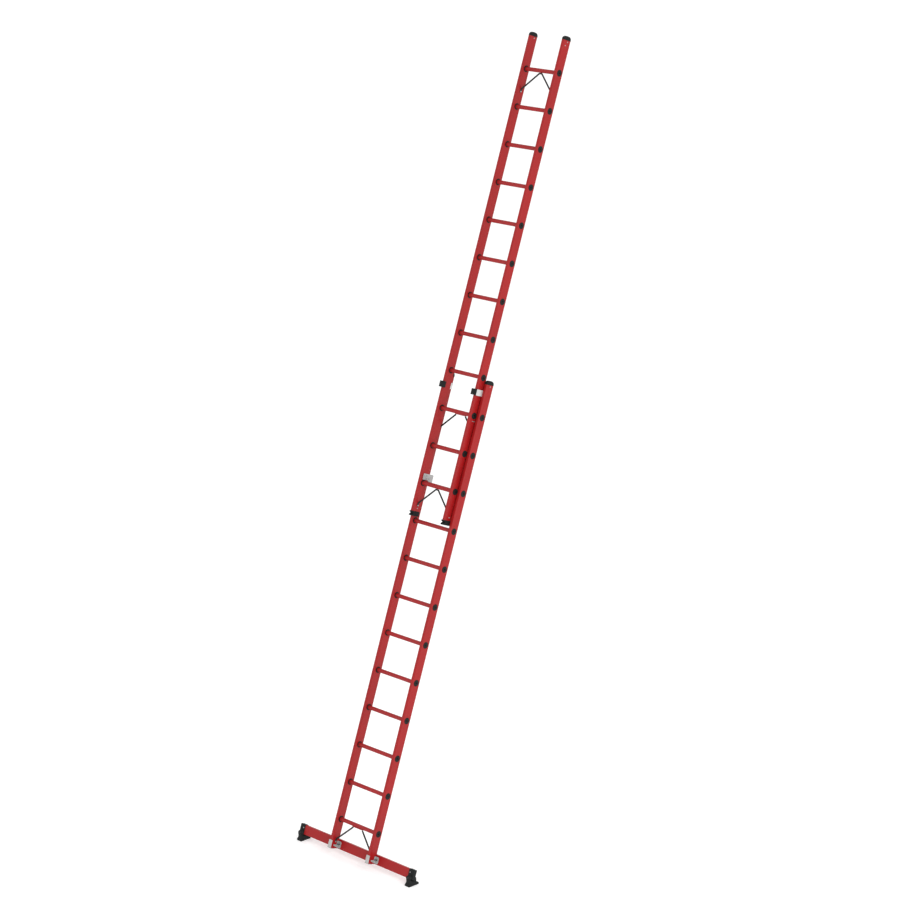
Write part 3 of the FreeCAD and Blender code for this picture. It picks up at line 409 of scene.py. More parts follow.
for section in ("lower", "upper"):
    for side, sign in SIDES:
        low, high = span("%s_stile_%s" % (section, side))
        cap = piece("%s_crowned_cap_%s" % (section, side),
                    [crowned_cap((low + high) / 2.0, high[2], (high[0] - low[0]) / 2.0 + CAP_PROUD,
                                 (high[1] - low[1]) / 2.0 + CAP_PROUD - CAP_SLACK)], moulded_black)
        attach(cap, section + "_section")
        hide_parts("%s_top_cap_%s" % (section, side))

# ---------------------------------------------------------------- upper shoes
# Moulded rubber shoes on the two upper stile ends: a collar, a notch across the front
# that would sit over a rung or an edge, and a thick heel. Each is held by one rivet.
SHOE_COLLAR = 9.0 * MM
NOTCH_DEPTH = 14.0 * MM
NOTCH_DROP = 16.0 * MM
HEEL_DROP = 27.0 * MM
SHOE_EDGE = 1.6 * MM


def rounded(points, radius, steps=5):
    """Closed outline with every corner turned into an arc of the given radius.

    The arc's centre lies on the corner's bisector at the radius over the sine of half the
    corner's angle; its points swing evenly from one tangent point to the other.
    """
    points = np.asarray(points, float)
    before = np.roll(points, 1, 0) - points
    after = np.roll(points, -1, 0) - points
    before /= np.linalg.norm(before, axis=1, keepdims=True)
    after /= np.linalg.norm(after, axis=1, keepdims=True)
    half = np.arccos(np.clip((before * after).sum(1), -0.9999, 0.9999)) / 2.0
    radius = np.broadcast_to(np.asarray(radius, float), half.shape)
    bisector = before + after
    bisector /= np.linalg.norm(bisector, axis=1, keepdims=True)
    centre = points + bisector * (radius / np.sin(half))[:, None]
    run = (radius / np.tan(half))[:, None]
    start = points + before * run - centre
    end = points + after * run - centre
    swing = (math.pi - 2.0 * half)[:, None, None]
    t = np.linspace(0.0, 1.0, steps)[None, :, None]
    arc = np.sin((1.0 - t) * swing) * start[:, None] + np.sin(t * swing) * end[:, None]
    return (centre[:, None] + arc / np.sin(swing)).reshape(-1, 2)


AXES = {"x": [2, 0, 1], "y": [0, 2, 1], "z": [0, 1, 2]}


def pillow(outline, low, high, edge, axis, steps=4):
    """Outline pushed along an axis from low to high, with its end edges rounded.

    Near each end the outline shrinks along its own normals by the edge radius times one
    minus the sine of an angle, while it advances by the radius times one minus its cosine.
    """
    outline = np.asarray(outline, float)
    tangent = np.roll(outline, -1, 0) - np.roll(outline, 1, 0)
    normal = np.stack([-tangent[:, 1], tangent[:, 0]], 1)
    normal /= np.linalg.norm(normal, axis=1, keepdims=True)
    turning = (outline[:, 0] * np.roll(outline[:, 1], -1) - np.roll(outline[:, 0], -1) * outline[:, 1]).sum()
    normal *= np.sign(turning)
    low, high = min(low, high), max(low, high)
    angle = np.linspace(0.0, math.pi / 2.0, steps)
    inset = edge * (1.0 - np.sin(angle))
    advance = edge * (1.0 - np.cos(angle))
    stations = list(zip(inset, low + advance)) + list(zip(inset[::-1], high - advance[::-1]))
    rings = [np.column_stack([outline + normal * pull, np.full(len(outline), place)])[:, AXES[axis]]
             for pull, place in stations]
    return skin(rings)


shoe_rubber = grain_free("shoe_rubber", (0.0100, 0.0115, 0.0115), rough=(0.55, 0.78),
                         speckle=900.0, bump=0.0002, gloss=0.14)
for side, sign in SIDES:
    low, high = span("upper_shoe_" + side)
    stile_low, stile_high = span("upper_stile_" + side)
    top = stile_low[2]
    outline = rounded([(high[1], top), (low[1], top), (low[1], top - SHOE_COLLAR),
                       (low[1] + NOTCH_DEPTH, top - NOTCH_DROP), (low[1], top - HEEL_DROP),
                       (low[1], low[2]), (high[1], low[2])], 2.0 * MM)
    shoe = piece("upper_rubber_shoe_" + side, [pillow(outline, low[0], high[0], SHOE_EDGE, "x")],
                 shoe_rubber)
    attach(shoe, "upper_section")
    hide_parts("upper_shoe_" + side)

# ---------------------------------------------------------------- stay rods
# Black-coated steel rods that brace the first and last rung of each section. Each end is
# hammered flat and screwed to the stile's inner face; on the upper section one rod is
# bent to a V, on the lower section two rods start at a saddle under the rung.
ROD_RADIUS = 6.0 * MM
TAB_HALF_THICK = 1.5 * MM
TAB_HALF_WIDE = 8.0 * MM
TAB_LENGTH = 30.0 * MM


def bend_path(points, radius, steps=7):
    """Open path in the (x, z) plane with arcs at its inner corners."""
    points = np.asarray(points, float)
    arcs = rounded(points, radius, steps).reshape(len(points), steps, 2)
    return np.concatenate([points[:1], arcs[1:-1].reshape(-1, 2), points[-1:]])


def stay_rod(path, y, flat_start, flat_end):
    """Rod swept along a path in the plane at y, hammered flat towards the marked ends.

    Across the path the half width goes from the rod's radius to half the tab's thickness,
    along y from the radius to half the tab's width, eased over a short length; the tab's
    tip closes in as a half circle. The cross-section is a superellipse, rounder on the rod.
    """
    length = np.linalg.norm(np.diff(path, axis=0), axis=1)
    here = np.concatenate([[0.0], np.cumsum(length)])
    extra = np.concatenate([np.linspace(0.0, TAB_LENGTH * 1.5, 22),
                            here[-1] - np.linspace(0.0, TAB_LENGTH * 1.5, 22)])
    places = np.unique(np.round(np.concatenate([here, extra]), 7))
    spine = np.stack([np.interp(places, here, path[:, n]) for n in range(2)], 1)
    tangent = np.gradient(spine, places, axis=0)
    tangent /= np.linalg.norm(tangent, axis=1, keepdims=True)
    side = np.stack([tangent[:, 1], -tangent[:, 0]], 1)
    far = np.full_like(places, 1.0)
    to_start = places if flat_start else far
    to_end = here[-1] - places if flat_end else far
    nearest = np.minimum(to_start, to_end)
    flat = np.clip((TAB_LENGTH * 1.25 - nearest) / (TAB_LENGTH * 0.4), 0.0, 1.0)
    flat = flat * flat * (3.0 - 2.0 * flat)
    tip = np.clip(nearest / TAB_HALF_WIDE, 0.0, 1.0)
    tip = np.sqrt(np.clip(1.0 - (1.0 - tip) ** 2, 0.0004, 1.0))
    thick = (ROD_RADIUS + (TAB_HALF_THICK - ROD_RADIUS) * flat)[:, None]
    wide = ((ROD_RADIUS + (TAB_HALF_WIDE - ROD_RADIUS) * flat) * tip)[:, None]
    turn = np.linspace(0.0, 2.0 * math.pi, 20, endpoint=False)[None, :]
    power = (1.0 - 0.55 * flat)[:, None]
    u = thick * np.sign(np.cos(turn)) * np.abs(np.cos(turn)) ** power
    v = wide * np.sign(np.sin(turn)) * np.abs(np.sin(turn)) ** power
    rings = np.stack([spine[:, None, 0] + side[:, None, 0] * u, y + v,
                      spine[:, None, 1] + side[:, None, 1] * u], -1)
    return skin(rings)


rod_black = grained("coated_rod_black", dark=(0.0075, 0.0085, 0.0085), light=(0.0125, 0.0135, 0.0135),
                    stretch=(1.0, 1.0, 0.3), streaks=900.0, rough=(0.38, 0.54), bump=0.00006, gloss=0.28)
SCREW_DROP = 169.0 * MM
TAB_TOP_DROP = 150.0 * MM
SPLIT_HALF = 48.0 * MM
APEX_HALF = 12.0 * MM
RUNG_GAP = 0.3 * MM
for section, node, rung_node in (("upper", "upper_stay_bottom", "upper_rung_01"),
                                 ("upper", "upper_stay_top", "upper_rung_12"),
                                 ("lower", "lower_stays_bottom", "lower_rung_01"),
                                 ("lower", "lower_stays_top", "lower_rung_12")):
    rung_low, rung_high = span(rung_node)
    y, rung_z = (rung_low + rung_high)[1:] / 2.0
    wall_x = span(section + "_stile_right")[0][0]
    under = rung_low[2] - RUNG_GAP - ROD_RADIUS
    tab_x = wall_x - TAB_HALF_THICK
    tip_z = rung_z - SCREW_DROP - TAB_HALF_WIDE
    knee = (tab_x - 1.0 * MM, rung_z - TAB_TOP_DROP)
    if section == "upper":
        path = bend_path([(-tab_x, tip_z), (-knee[0], knee[1]), (-APEX_HALF, under),
                          (APEX_HALF, under), knee, (tab_x, tip_z)], 9.0 * MM)
        rods = [stay_rod(path, y, True, True)]
    else:
        rods = []
        slope = (knee[1] - under) / (knee[0] - SPLIT_HALF)
        for side, sign in SIDES:
            start = (sign * (SPLIT_HALF + 2.0 * MM), under + slope * 2.0 * MM)
            path = bend_path([start, (sign * knee[0], knee[1]), (sign * tab_x, tip_z)], 9.0 * MM)
            rods.append(stay_rod(path, y, False, True))
    stay = piece(node + "_rod", rods, rod_black)
    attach(stay, section + "_section")
    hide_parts(node)

# ---------------------------------------------------------------- stay saddles
# A short curved strip under the lower section's first and last rung, from which the two
# stay rods hang. It is made of the same red glass-fibre as the rung it hugs.
finish_node("stay_saddles", rung_red)

# ---------------------------------------------------------------- guides
# At the top of the lower section an angle of zinc-plated sheet is screwed to each stile's
# inner face. Its front leg reaches across the upper stile and carries a black moulded
# block, which keeps the upper section from falling forward.
GUIDE_EDGE = 1.2 * MM
SHEET = 3.0 * MM
NOSE_REACH = 17.0 * MM
NOSE_THICK = 13.7 * MM
LEG_SETBACK = 4.0 * MM
CHEEK_DEPTH = 5.5 * MM
CHEEK_SIDE = 7.5 * MM
COVER_PROUD = 2.0 * MM
sheet_zinc = grained("zinc_sheet", dark=(0.50, 0.51, 0.50), light=(0.68, 0.69, 0.68),
                     stretch=(0.03, 1.0, 1.0), streaks=900.0, rough=(0.30, 0.46), bump=0.00003,
                     clouds=22.0, metal=0.45)
for side, sign in SIDES:
    low, high = span("guide_block_" + side)
    bottom, top = low[2], high[2]
    front = low[1]
    nose_rear = front + NOSE_THICK
    stile_x = span("lower_stile_right")[0][0]
    inner_x = span("upper_stile_right")[0][0] - NOSE_REACH
    stile_rear = span("lower_stile_right")[1][1]
    leg_front = front + LEG_SETBACK
    angle = rounded([(sign * stile_x, stile_rear), (sign * stile_x, leg_front),
                     (sign * (inner_x + LEG_SETBACK), leg_front),
                     (sign * (inner_x + LEG_SETBACK), leg_front + SHEET),
                     (sign * (stile_x - SHEET), leg_front + SHEET),
                     (sign * (stile_x - SHEET), stile_rear)],
                    np.array([0.4, 4.0, 0.4, 0.4, 1.2, 0.4]) * MM)
    bracket = piece("guide_angle_" + side, [pillow(angle, bottom, top, 0.3 * MM, "z", steps=3)], sheet_zinc)
    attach(bracket, "lower_section")
    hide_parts("guide_plate_" + side)
    cheek_x = stile_x - CHEEK_SIDE
    nose = rounded([(sign * (stile_x + COVER_PROUD), front), (sign * inner_x, front),
                    (sign * inner_x, nose_rear), (sign * cheek_x, nose_rear),
                    (sign * cheek_x, nose_rear + CHEEK_DEPTH),
                    (sign * (stile_x - SHEET - 0.2 * MM), nose_rear + CHEEK_DEPTH),
                    (sign * (stile_x - SHEET - 0.2 * MM), leg_front + SHEET + 0.2 * MM),
                    (sign * (inner_x + LEG_SETBACK - 0.2 * MM), leg_front + SHEET + 0.2 * MM),
                    (sign * (inner_x + LEG_SETBACK - 0.2 * MM), leg_front - 0.2 * MM),
                    (sign * (stile_x + COVER_PROUD), leg_front - 0.2 * MM)],
                   np.array([1.8, 1.8, 1.0, 1.0, 1.0, 0.5, 0.5, 0.3, 0.3, 0.6]) * MM)
    block = piece("guide_slide_block_" + side,
                  [pillow(nose, bottom, top, GUIDE_EDGE * 0.4, "z")], moulded_black)
    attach(block, "lower_section")
    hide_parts("guide_block_" + side)

# ---------------------------------------------------------------- rung hooks
# Plates of zinc-plated steel, stamped to a hook that rests over a lower rung, one on each
# inner face at the upper section's bottom. Each swings on a shouldered pin and carries
# three rivet heads of its stiffener.
HOOK_FRONT = 19.5 * MM
HOOK_TOP = 69.0 * MM
HOOK_LOW_FRONT = 24.0 * MM
HOOK_SEAT = 15.3 * MM
HOOK_BACK = 15.8 * MM
HOOK_NOSE = 16.0 * MM
HOOK_DROP = 11.0 * MM
hook_zinc = grained("hook_zinc", dark=(0.33, 0.328, 0.325), light=(0.47, 0.468, 0.463),
                    stretch=(1.0, 0.05, 1.0), streaks=900.0, rough=(0.40, 0.56), bump=0.00003,
                    clouds=22.0, metal=0.35)
rivet_grey = grained("rivet_grey", dark=(0.10, 0.10, 0.10), light=(0.17, 0.17, 0.17),
                     stretch=(1.0, 1.0, 1.0), streaks=1600.0, rough=(0.34, 0.50), bump=0.00003,
                     clouds=90.0, metal=0.5)
rung_low, rung_high = span("upper_rung_01")
hook_y, hook_z = (rung_low + rung_high)[1:] / 2.0
for side, sign in SIDES:
    low, high = span("rung_hook_" + side)
    outline = rounded([(hook_y - HOOK_FRONT, hook_z + HOOK_LOW_FRONT), (-15.5 * MM, hook_z + HOOK_LOW_FRONT),
                       (-7.5 * MM, hook_z + HOOK_SEAT), (HOOK_BACK, hook_z + HOOK_SEAT),
                       (HOOK_BACK, hook_z + HOOK_SEAT - HOOK_DROP),
                       (HOOK_BACK + HOOK_NOSE, hook_z + HOOK_SEAT - HOOK_DROP + 3.2 * MM),
                       (HOOK_BACK + HOOK_NOSE, hook_z + HOOK_TOP),
                       (hook_y - HOOK_FRONT, hook_z + HOOK_TOP)],
                      np.array([1.0, 1.5, 1.5, 0.6, 1.5, 3.0, 7.0, 4.0]) * MM, steps=6)
    shells = [pillow(outline, low[0], high[0], 0.35 * MM, "x", steps=3)]
    hook = piece("rung_hook_plate_" + side, shells, hook_zinc)
    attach(hook, "hook_" + side)
    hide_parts("rung_hook_" + side)
    inner = low[0] if sign > 0 else high[0]
    head = [(3.6 * MM, 0.0), (3.6 * MM, 0.4 * MM), (3.0 * MM, 1.1 * MM), (1.8 * MM, 1.6 * MM),
            (0.5 * MM, 1.8 * MM)]
    heads = [lathe([(r, -sign * h) for r, h in head], (inner, y, z), "x", steps=24)
             for y, z in ((hook_y + 13.0 * MM, hook_z + 55.0 * MM), (hook_y + 17.0 * MM, hook_z + 33.0 * MM),
                          (hook_y + 42.5 * MM, hook_z + 35.0 * MM))]
    rivets = piece("rung_hook_rivets_" + side, heads, rivet_grey)
    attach(rivets, "hook_" + side)

# ---------------------------------------------------------------- the crossbar
# A rectangular red-coated tube behind the lower stile ends that widens the ladder's
# stand. Its ends are closed by the moulded housings.
bar_red = grained("coated_bar_red", dark=(0.270, 0.0040, 0.0049), light=(0.345, 0.0058, 0.0068),
                  stretch=(0.25, 1.0, 1.0), streaks=700.0, rough=(0.34, 0.50), bump=0.00008, gloss=0.30)
finish_node("crossbar", bar_red)

# ---------------------------------------------------------------- stile stirrups
# A strip of zinc-plated sheet folded to an L, with its tab in front of each lower stile
# and its floor under the stile's front half. The plug that holds it is hidden in the
# stile's hollow end and isn't drawn.
tab_zinc = grained("tab_zinc", dark=(0.38, 0.375, 0.37), light=(0.50, 0.495, 0.485),
                   stretch=(1.0, 1.0, 0.05), streaks=900.0, rough=(0.42, 0.58), bump=0.00004,
                   clouds=30.0, metal=0.35)
STRIP_SHEET = 4.0 * MM
STRIP_BEND = 4.0 * MM
STRIP_CORNER = 1.2 * MM
SHEET_EDGE = 0.5 * MM
FLOOR_DEPTH = 43.0 * MM
for side, sign in SIDES:
    low, high = span("stile_bracket_" + side)
    stile_low, stile_high = span("lower_stile_" + side)
    x = (low[0] + high[0]) / 2.0
    half = (stile_high[0] - stile_low[0]) / 2.0 + STRIP_SHEET
    front, under = stile_low[1], low[2]
    strip = rounded([(low[1], high[2]), (low[1], under), (low[1] + FLOOR_DEPTH, under),
                     (low[1] + FLOOR_DEPTH, under + STRIP_SHEET), (front, under + STRIP_SHEET),
                     (front, high[2])],
                    np.array([STRIP_CORNER, STRIP_BEND, SHEET_EDGE, SHEET_EDGE, SHEET_EDGE, STRIP_CORNER]))
    stirrup = piece("stile_stirrup_" + side, [pillow(strip, x - half, x + half, SHEET_EDGE, "x")], tab_zinc)
    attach(stirrup, "lower_section")
    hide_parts("stile_bracket_" + side)

# ---------------------------------------------------------------- stile angles
# Angles of zinc-plated sheet on both sides of each lower stile. The web lies on the
# stile's side with an arm forward, and the ear with clipped corners lies on the crossbar. Their zinc is
# mixed darker than the stirrups' zinc as painted shade, for the shadow they lie in beside the stile and on
# the crossbar.
# Painted shade: a darker copy of the stirrup tabs' zinc, standing for the shadow on the angles.
bracket_zinc_painted_shade = grained("bracket_zinc_painted_shade", dark=(0.29, 0.295, 0.29), light=(0.42, 0.425, 0.42),
                       stretch=(1.0, 1.0, 0.05), streaks=900.0, rough=(0.42, 0.58), bump=0.00004,
                       clouds=30.0, metal=0.35)
ANGLE_SHEET = 3.0 * MM
ANGLE_BOTTOM = 4.0 * MM
ANGLE_TOP = 57.0 * MM
ANGLE_CORNER = 8.0 * MM
WEB_WIDTH = 19.0 * MM
ARM_REACH = 48.0 * MM
ARM_LOW = 19.0 * MM
ARM_HIGH = 28.5 * MM
for side, sign in SIDES:
    low, high = span("stile_bracket_" + side)
    stile_low, stile_high = span("lower_stile_" + side)
    shells = []
    for ear in (-1.0, 1.0):
        near = stile_low[0] if ear < 0 else stile_high[0]
        tip = low[0] if ear < 0 else high[0]
        rear = stile_high[1]
        web = rounded([(rear, ANGLE_BOTTOM), (rear, ANGLE_TOP), (rear - WEB_WIDTH, ANGLE_TOP),
                       (rear - WEB_WIDTH, ARM_HIGH), (rear - ARM_REACH, ARM_HIGH),
                       (rear - ARM_REACH, ARM_LOW)],
                      np.array([0.5, 0.5, 1.5, 3.0, 1.5, 1.5]) * MM)
        shells.append(pillow(web, near, near + ear * ANGLE_SHEET, SHEET_EDGE, "x"))
        plate = rounded([(near, ANGLE_TOP), (near, ANGLE_BOTTOM), (tip - ear * ANGLE_CORNER, ANGLE_BOTTOM),
                         (tip, ANGLE_BOTTOM + ANGLE_CORNER), (tip, ANGLE_TOP - ANGLE_CORNER),
                         (tip - ear * ANGLE_CORNER, ANGLE_TOP)],
                        np.array([0.5, 0.5, 3.0, 3.0, 3.0, 3.0]) * MM)
        shells.append(pillow(plate, rear - ANGLE_SHEET, rear, SHEET_EDGE, "y"))
    angles = piece("stile_angles_" + side, shells, bracket_zinc_painted_shade)
    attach(angles, "lower_section")
    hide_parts("stile_bracket_" + side)

# ---------------------------------------------------------------- bracket bolts
# Hexagon bolts in a dark colour. One runs through each ear and the crossbar, with washers under its
# head and nut, and one runs across each stile through both webs, with only its ends seen. On the ear bolts
# the dark colour is painted shade over zinc-coloured heads that lie in shadow.
BOLT_RADIUS = 5.5 * MM
BOLT_HEAD = 5.0 * MM
BOLT_SHANK = 4.0 * MM
BOLT_TAIL = 8.0 * MM
WASHER = 0.8 * MM
EAR_REACH = 14.0 * MM
BOLT_HEIGHT = 34.0 * MM
STILE_BOLT = 5.0 * MM
STILE_BOLT_HEAD = 4.0 * MM
STILE_BOLT_BACK = 22.0 * MM
STILE_BOLT_RISE = 33.0 * MM


def hexagon(x, z, radius):
    """Six corners at equal turns round a centre, with softened corners."""
    turn = np.arange(6) * math.pi / 3.0
    return rounded(np.column_stack([x + radius * np.cos(turn), z + radius * np.sin(turn)]), 0.5 * MM, 3)


# Dark colour: dark steel for the web bolts and foot pins, and painted shade on the ear bolts, whose heads
# are zinc-coloured.
dark_bolts_and_painted_shade = grained("dark_bolt_steel_and_painted_shade", dark=(0.030, 0.030, 0.031), light=(0.055, 0.055, 0.057),
                    stretch=(1.0, 1.0, 1.0), streaks=1400.0, rough=(0.32, 0.46), bump=0.00004,
                    clouds=60.0, metal=0.6)
bar_low, bar_high = span("crossbar")
bolts = []
for side, sign in SIDES:
    stile_low, stile_high = span("lower_stile_" + side)
    x_stile = (stile_low[0] + stile_high[0]) / 2.0
    half = (stile_high[0] - stile_low[0]) / 2.0
    seat, back = stile_high[1] - ANGLE_SHEET, bar_high[1]
    z = BOLT_HEIGHT
    for ear in (-1.0, 1.0):
        x = x_stile + ear * (half + EAR_REACH)
        bolts.append(pillow(hexagon(x, z, BOLT_RADIUS), seat - BOLT_HEAD, seat - WASHER, 0.6 * MM, "y"))
        bolts.append(pillow(hexagon(x, z, BOLT_RADIUS), back + WASHER, back + BOLT_HEAD, 0.6 * MM, "y"))
        shank = [(BOLT_RADIUS, -WASHER), (BOLT_RADIUS, 0.0), (BOLT_SHANK, 0.0),
                 (BOLT_SHANK, back - seat), (BOLT_RADIUS, back - seat),
                 (BOLT_RADIUS, back - seat + WASHER), (BOLT_SHANK, back - seat + WASHER),
                 (BOLT_SHANK, back - seat + BOLT_TAIL - 0.8 * MM),
                 (BOLT_SHANK - 0.8 * MM, back - seat + BOLT_TAIL)]
        bolts.append(lathe(shank, (x, seat, z), "y", steps=24))
    reach = half + ANGLE_SHEET
    across = hexagon((stile_low[1] + stile_high[1]) / 2.0 + STILE_BOLT_BACK, STILE_BOLT_RISE, STILE_BOLT)
    bolts.append(pillow(across, x_stile + reach, x_stile + reach + STILE_BOLT_HEAD, 0.6 * MM, "x"))
    bolts.append(pillow(across, x_stile - reach, x_stile - reach - STILE_BOLT_HEAD, 0.6 * MM, "x"))
bracket_bolts = piece("bracket_bolts", bolts, dark_bolts_and_painted_shade)
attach(bracket_bolts, "lower_section")
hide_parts("lower_screws")

# ---------------------------------------------------------------- end housings
# Moulded boxes pushed over the crossbar's ends and riveted through it. The mouth has a
# lip with a fine groove, the far end is rounded, and a pad on each face bears on the foot.
HOUSING_WALL = 3.0 * MM
HOUSING_ROUND = 3.9 * MM
MOUTH_EDGE = 0.8 * MM
LIP = 6.0 * MM
LIP_GROOVE = 0.4 * MM
POCKET_CORNER = 2.4 * MM
SHELL_CORNER = 3.6 * MM
PAD_RADIUS = 20.0 * MM
PAD_HEIGHT = 1.0 * MM
PIVOTS = {joint["name"]: np.array(joint["pos_m"], float) for joint in frame["joints"] if "pos_m" in joint}


def own(point):
    """Standing frame to the ladder's axes: x, then the way from ORIGIN along BACK and UP."""
    return np.array([point[0], (point - ORIGIN) @ BACK, (point - ORIGIN) @ UP])


def boxed_ring(x, middle, half_y, half_z, corner):
    """Rounded rectangle in the plane across x, about a middle (y, z)."""
    ring = rounded_ring(half_y, half_z, corner)
    return np.column_stack([np.full(len(ring), x), ring[:, 0] + middle[0], ring[:, 1] + middle[1]])


bar_middle = (bar_low + bar_high)[1:] / 2.0
bar_half = (bar_high - bar_low)[1:] / 2.0
wall_half = bar_half + HOUSING_WALL
for side, sign in SIDES:
    low, high = span("end_housing_" + side)
    mouth = min(abs(low[0]), abs(high[0]))
    end = max(abs(low[0]), abs(high[0]))
    rows = [(bar_high[0], bar_half, POCKET_CORNER), (mouth, bar_half, POCKET_CORNER),
            (mouth, wall_half - MOUTH_EDGE, SHELL_CORNER), (mouth + MOUTH_EDGE, wall_half, SHELL_CORNER),
            (mouth + LIP, wall_half, SHELL_CORNER), (mouth + LIP, wall_half - LIP_GROOVE, SHELL_CORNER),
            (mouth + LIP + 2.0 * LIP_GROOVE, wall_half - LIP_GROOVE, SHELL_CORNER),
            (mouth + LIP + 2.0 * LIP_GROOVE, wall_half, SHELL_CORNER)]
    for angle in np.linspace(0.0, math.pi / 2.0, 7):
        rows.append((end - HOUSING_ROUND * (1.0 - math.sin(angle)),
                     wall_half - HOUSING_ROUND * (1.0 - math.cos(angle)), SHELL_CORNER + 1.0 * MM))
    shells = [skin([boxed_ring(sign * x, bar_middle, half[0], half[1], corner) for x, half, corner in rows])]
    pivot = own(PIVOTS["foot_%s_rock" % side])
    floor_drop = pivot[2] - (bar_low[2] - HOUSING_WALL)
    start = math.asin(floor_drop / PAD_RADIUS)
    turn = np.linspace(-start, math.pi + start, 40)
    pad = np.column_stack([pivot[0] + PAD_RADIUS * np.cos(turn), pivot[2] + PAD_RADIUS * np.sin(turn)])
    for face, out in ((bar_low[1] - HOUSING_WALL, -1.0), (bar_high[1] + HOUSING_WALL, 1.0)):
        shells.append(pillow(pad, face - out * HOUSING_WALL / 2.0, face + out * PAD_HEIGHT, 0.3 * MM, "y"))
    housing = piece("bar_end_housing_" + side, shells, moulded_black)
    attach(housing, "lower_section")
    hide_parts("end_housing_" + side)

# ---------------------------------------------------------------- feet
# Moulded rockers: a sole with a flared waist and two arms beside the housing, whose coned
# eyes hold the pin. The sole stays level on the ground while the ladder leans.
SOLE_FRONT = -42.38 * MM
SOLE_REAR = 54.6 * MM
SOLE_HALF = 24.0 * MM
SOLE_TOP = -39.8 * MM
SOLE_BOTTOM = -47.8 * MM
WAIST_HALF = 17.6 * MM
SADDLE_DROP = -19.0 * MM
ARM_FACE = 16.9 * MM
EYE_ROOT = 22.5 * MM
EYE_TIP = 14.0 * MM
EYE_BORE = 6.1 * MM
EYE_RECESS = 10.25 * MM
RECESS_DEPTH = 9.0 * MM
FRONT_REACH = 21.5 * MM
REAR_REACH = 16.0 * MM
tilt_cos, tilt_sin = math.cos(LEAN), math.sin(LEAN)


def level(y, z):
    """A level (y, z) point counted from the foot's pin, turned by the lean into ladder axes."""
    return np.array([y * tilt_cos - z * tilt_sin, y * tilt_sin + z * tilt_cos])


def slanted_ring(pivot, half_x, front, rear, corner):
    """Rounded rectangle, half_x to each side, whose middle line runs from front to rear.

    front and rear are (y, z) points counted from the pin in the ladder's axes.
    """
    front, rear = np.asarray(front, float), np.asarray(rear, float)
    length = np.linalg.norm(rear - front)
    ring = rounded_ring(half_x, length / 2.0, corner)
    along = (rear - front) / length
    spots = (front + rear) / 2.0 + ring[:, 1:] * along
    return np.column_stack([ring[:, 0], spots]) + pivot


def foot_shells(pivot):
    """Body, two arms and two eyes of one foot.

    From the flange to the saddle each side of the body closes in by its run times one minus
    the cube of what is left of the height, while its plane turns from level to the saddle's.
    """
    rows = [(SOLE_HALF - 0.8 * MM, SOLE_FRONT + 0.8 * MM, SOLE_REAR - 0.8 * MM, SOLE_BOTTOM),
            (SOLE_HALF, SOLE_FRONT, SOLE_REAR, SOLE_BOTTOM + 0.8 * MM),
            (SOLE_HALF, SOLE_FRONT, SOLE_REAR, SOLE_TOP - 1.0 * MM),
            (SOLE_HALF - 1.0 * MM, SOLE_FRONT + 1.0 * MM, SOLE_REAR - 1.0 * MM, SOLE_TOP)]
    rings = [slanted_ring(pivot, half, level(front, z), level(rear, z), 4.5 * MM)
             for half, front, rear, z in rows]
    for t in np.linspace(0.0, 1.0, 9)[1:]:
        pull = 1.0 - (1.0 - t) ** 3
        front = SOLE_FRONT + 1.0 * MM + 8.2 * MM * pull
        rear = SOLE_REAR - 1.0 * MM - 17.0 * MM * pull
        height = SOLE_TOP + (SADDLE_DROP / tilt_cos - SOLE_TOP) * t
        slope = -tilt_sin / tilt_cos * t
        half = SOLE_HALF - 1.0 * MM - (SOLE_HALF - 1.0 * MM - WAIST_HALF) * pull
        rings.append(slanted_ring(pivot, half, level(front, height + slope * front),
                                  level(rear, height + slope * rear), 4.0 * MM))
    shells = [skin(rings)]
    for out, root, top in ((-1.0, 11.6 * MM, -30.6 * MM), (1.0, 28.4 * MM, 33.4 * MM)):
        inner = out * ARM_FACE
        low_ring = ((inner, SADDLE_DROP - 1.0 * MM), (inner + out * root, SADDLE_DROP - 1.0 * MM))
        rise = tilt_sin / tilt_cos
        high_ring = ((inner, inner * rise), (top, top * rise))
        rings = []
        for t, shrink in ((0.0, 0.0), (0.35, 0.0), (0.7, 0.0), (0.9, 0.2 * MM), (1.0, 1.4 * MM)):
            near = np.array(low_ring[0]) * (1.0 - t) + np.array(high_ring[0]) * t
            far = np.array(low_ring[1]) * (1.0 - t) + np.array(high_ring[1]) * t
            far = far - np.array([out * shrink, 0.0])
            rings.append(slanted_ring(pivot, WAIST_HALF - shrink, near, far, 2.0 * MM))
        shells.append(skin(rings))
    for out, reach in ((-1.0, FRONT_REACH), (1.0, REAR_REACH)):
        eye = [(EYE_BORE, 0.0), (EYE_ROOT, 0.0), (EYE_ROOT, 1.2 * MM), (EYE_ROOT - 0.8 * MM, 2.0 * MM),
               (EYE_TIP + 0.9 * MM, reach - 1.2 * MM), (EYE_TIP + 0.2 * MM, reach - 0.3 * MM),
               (EYE_TIP - 0.6 * MM, reach), (EYE_RECESS + 0.5 * MM, reach), (EYE_RECESS, reach - 0.5 * MM),
               (EYE_RECESS, reach - RECESS_DEPTH), (EYE_BORE, reach - RECESS_DEPTH)]
        turned = [(r, out * (ARM_FACE + h)) for r, h in eye]
        shells.append(lathe(turned, pivot, "y", ring=True))
    return shells


for side, sign in SIDES:
    pivot = own(PIVOTS["foot_%s_rock" % side])
    rocker = piece("rocking_foot_" + side, foot_shells(pivot), moulded_black)
    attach(rocker, "foot_" + side)
    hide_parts("foot_" + side)

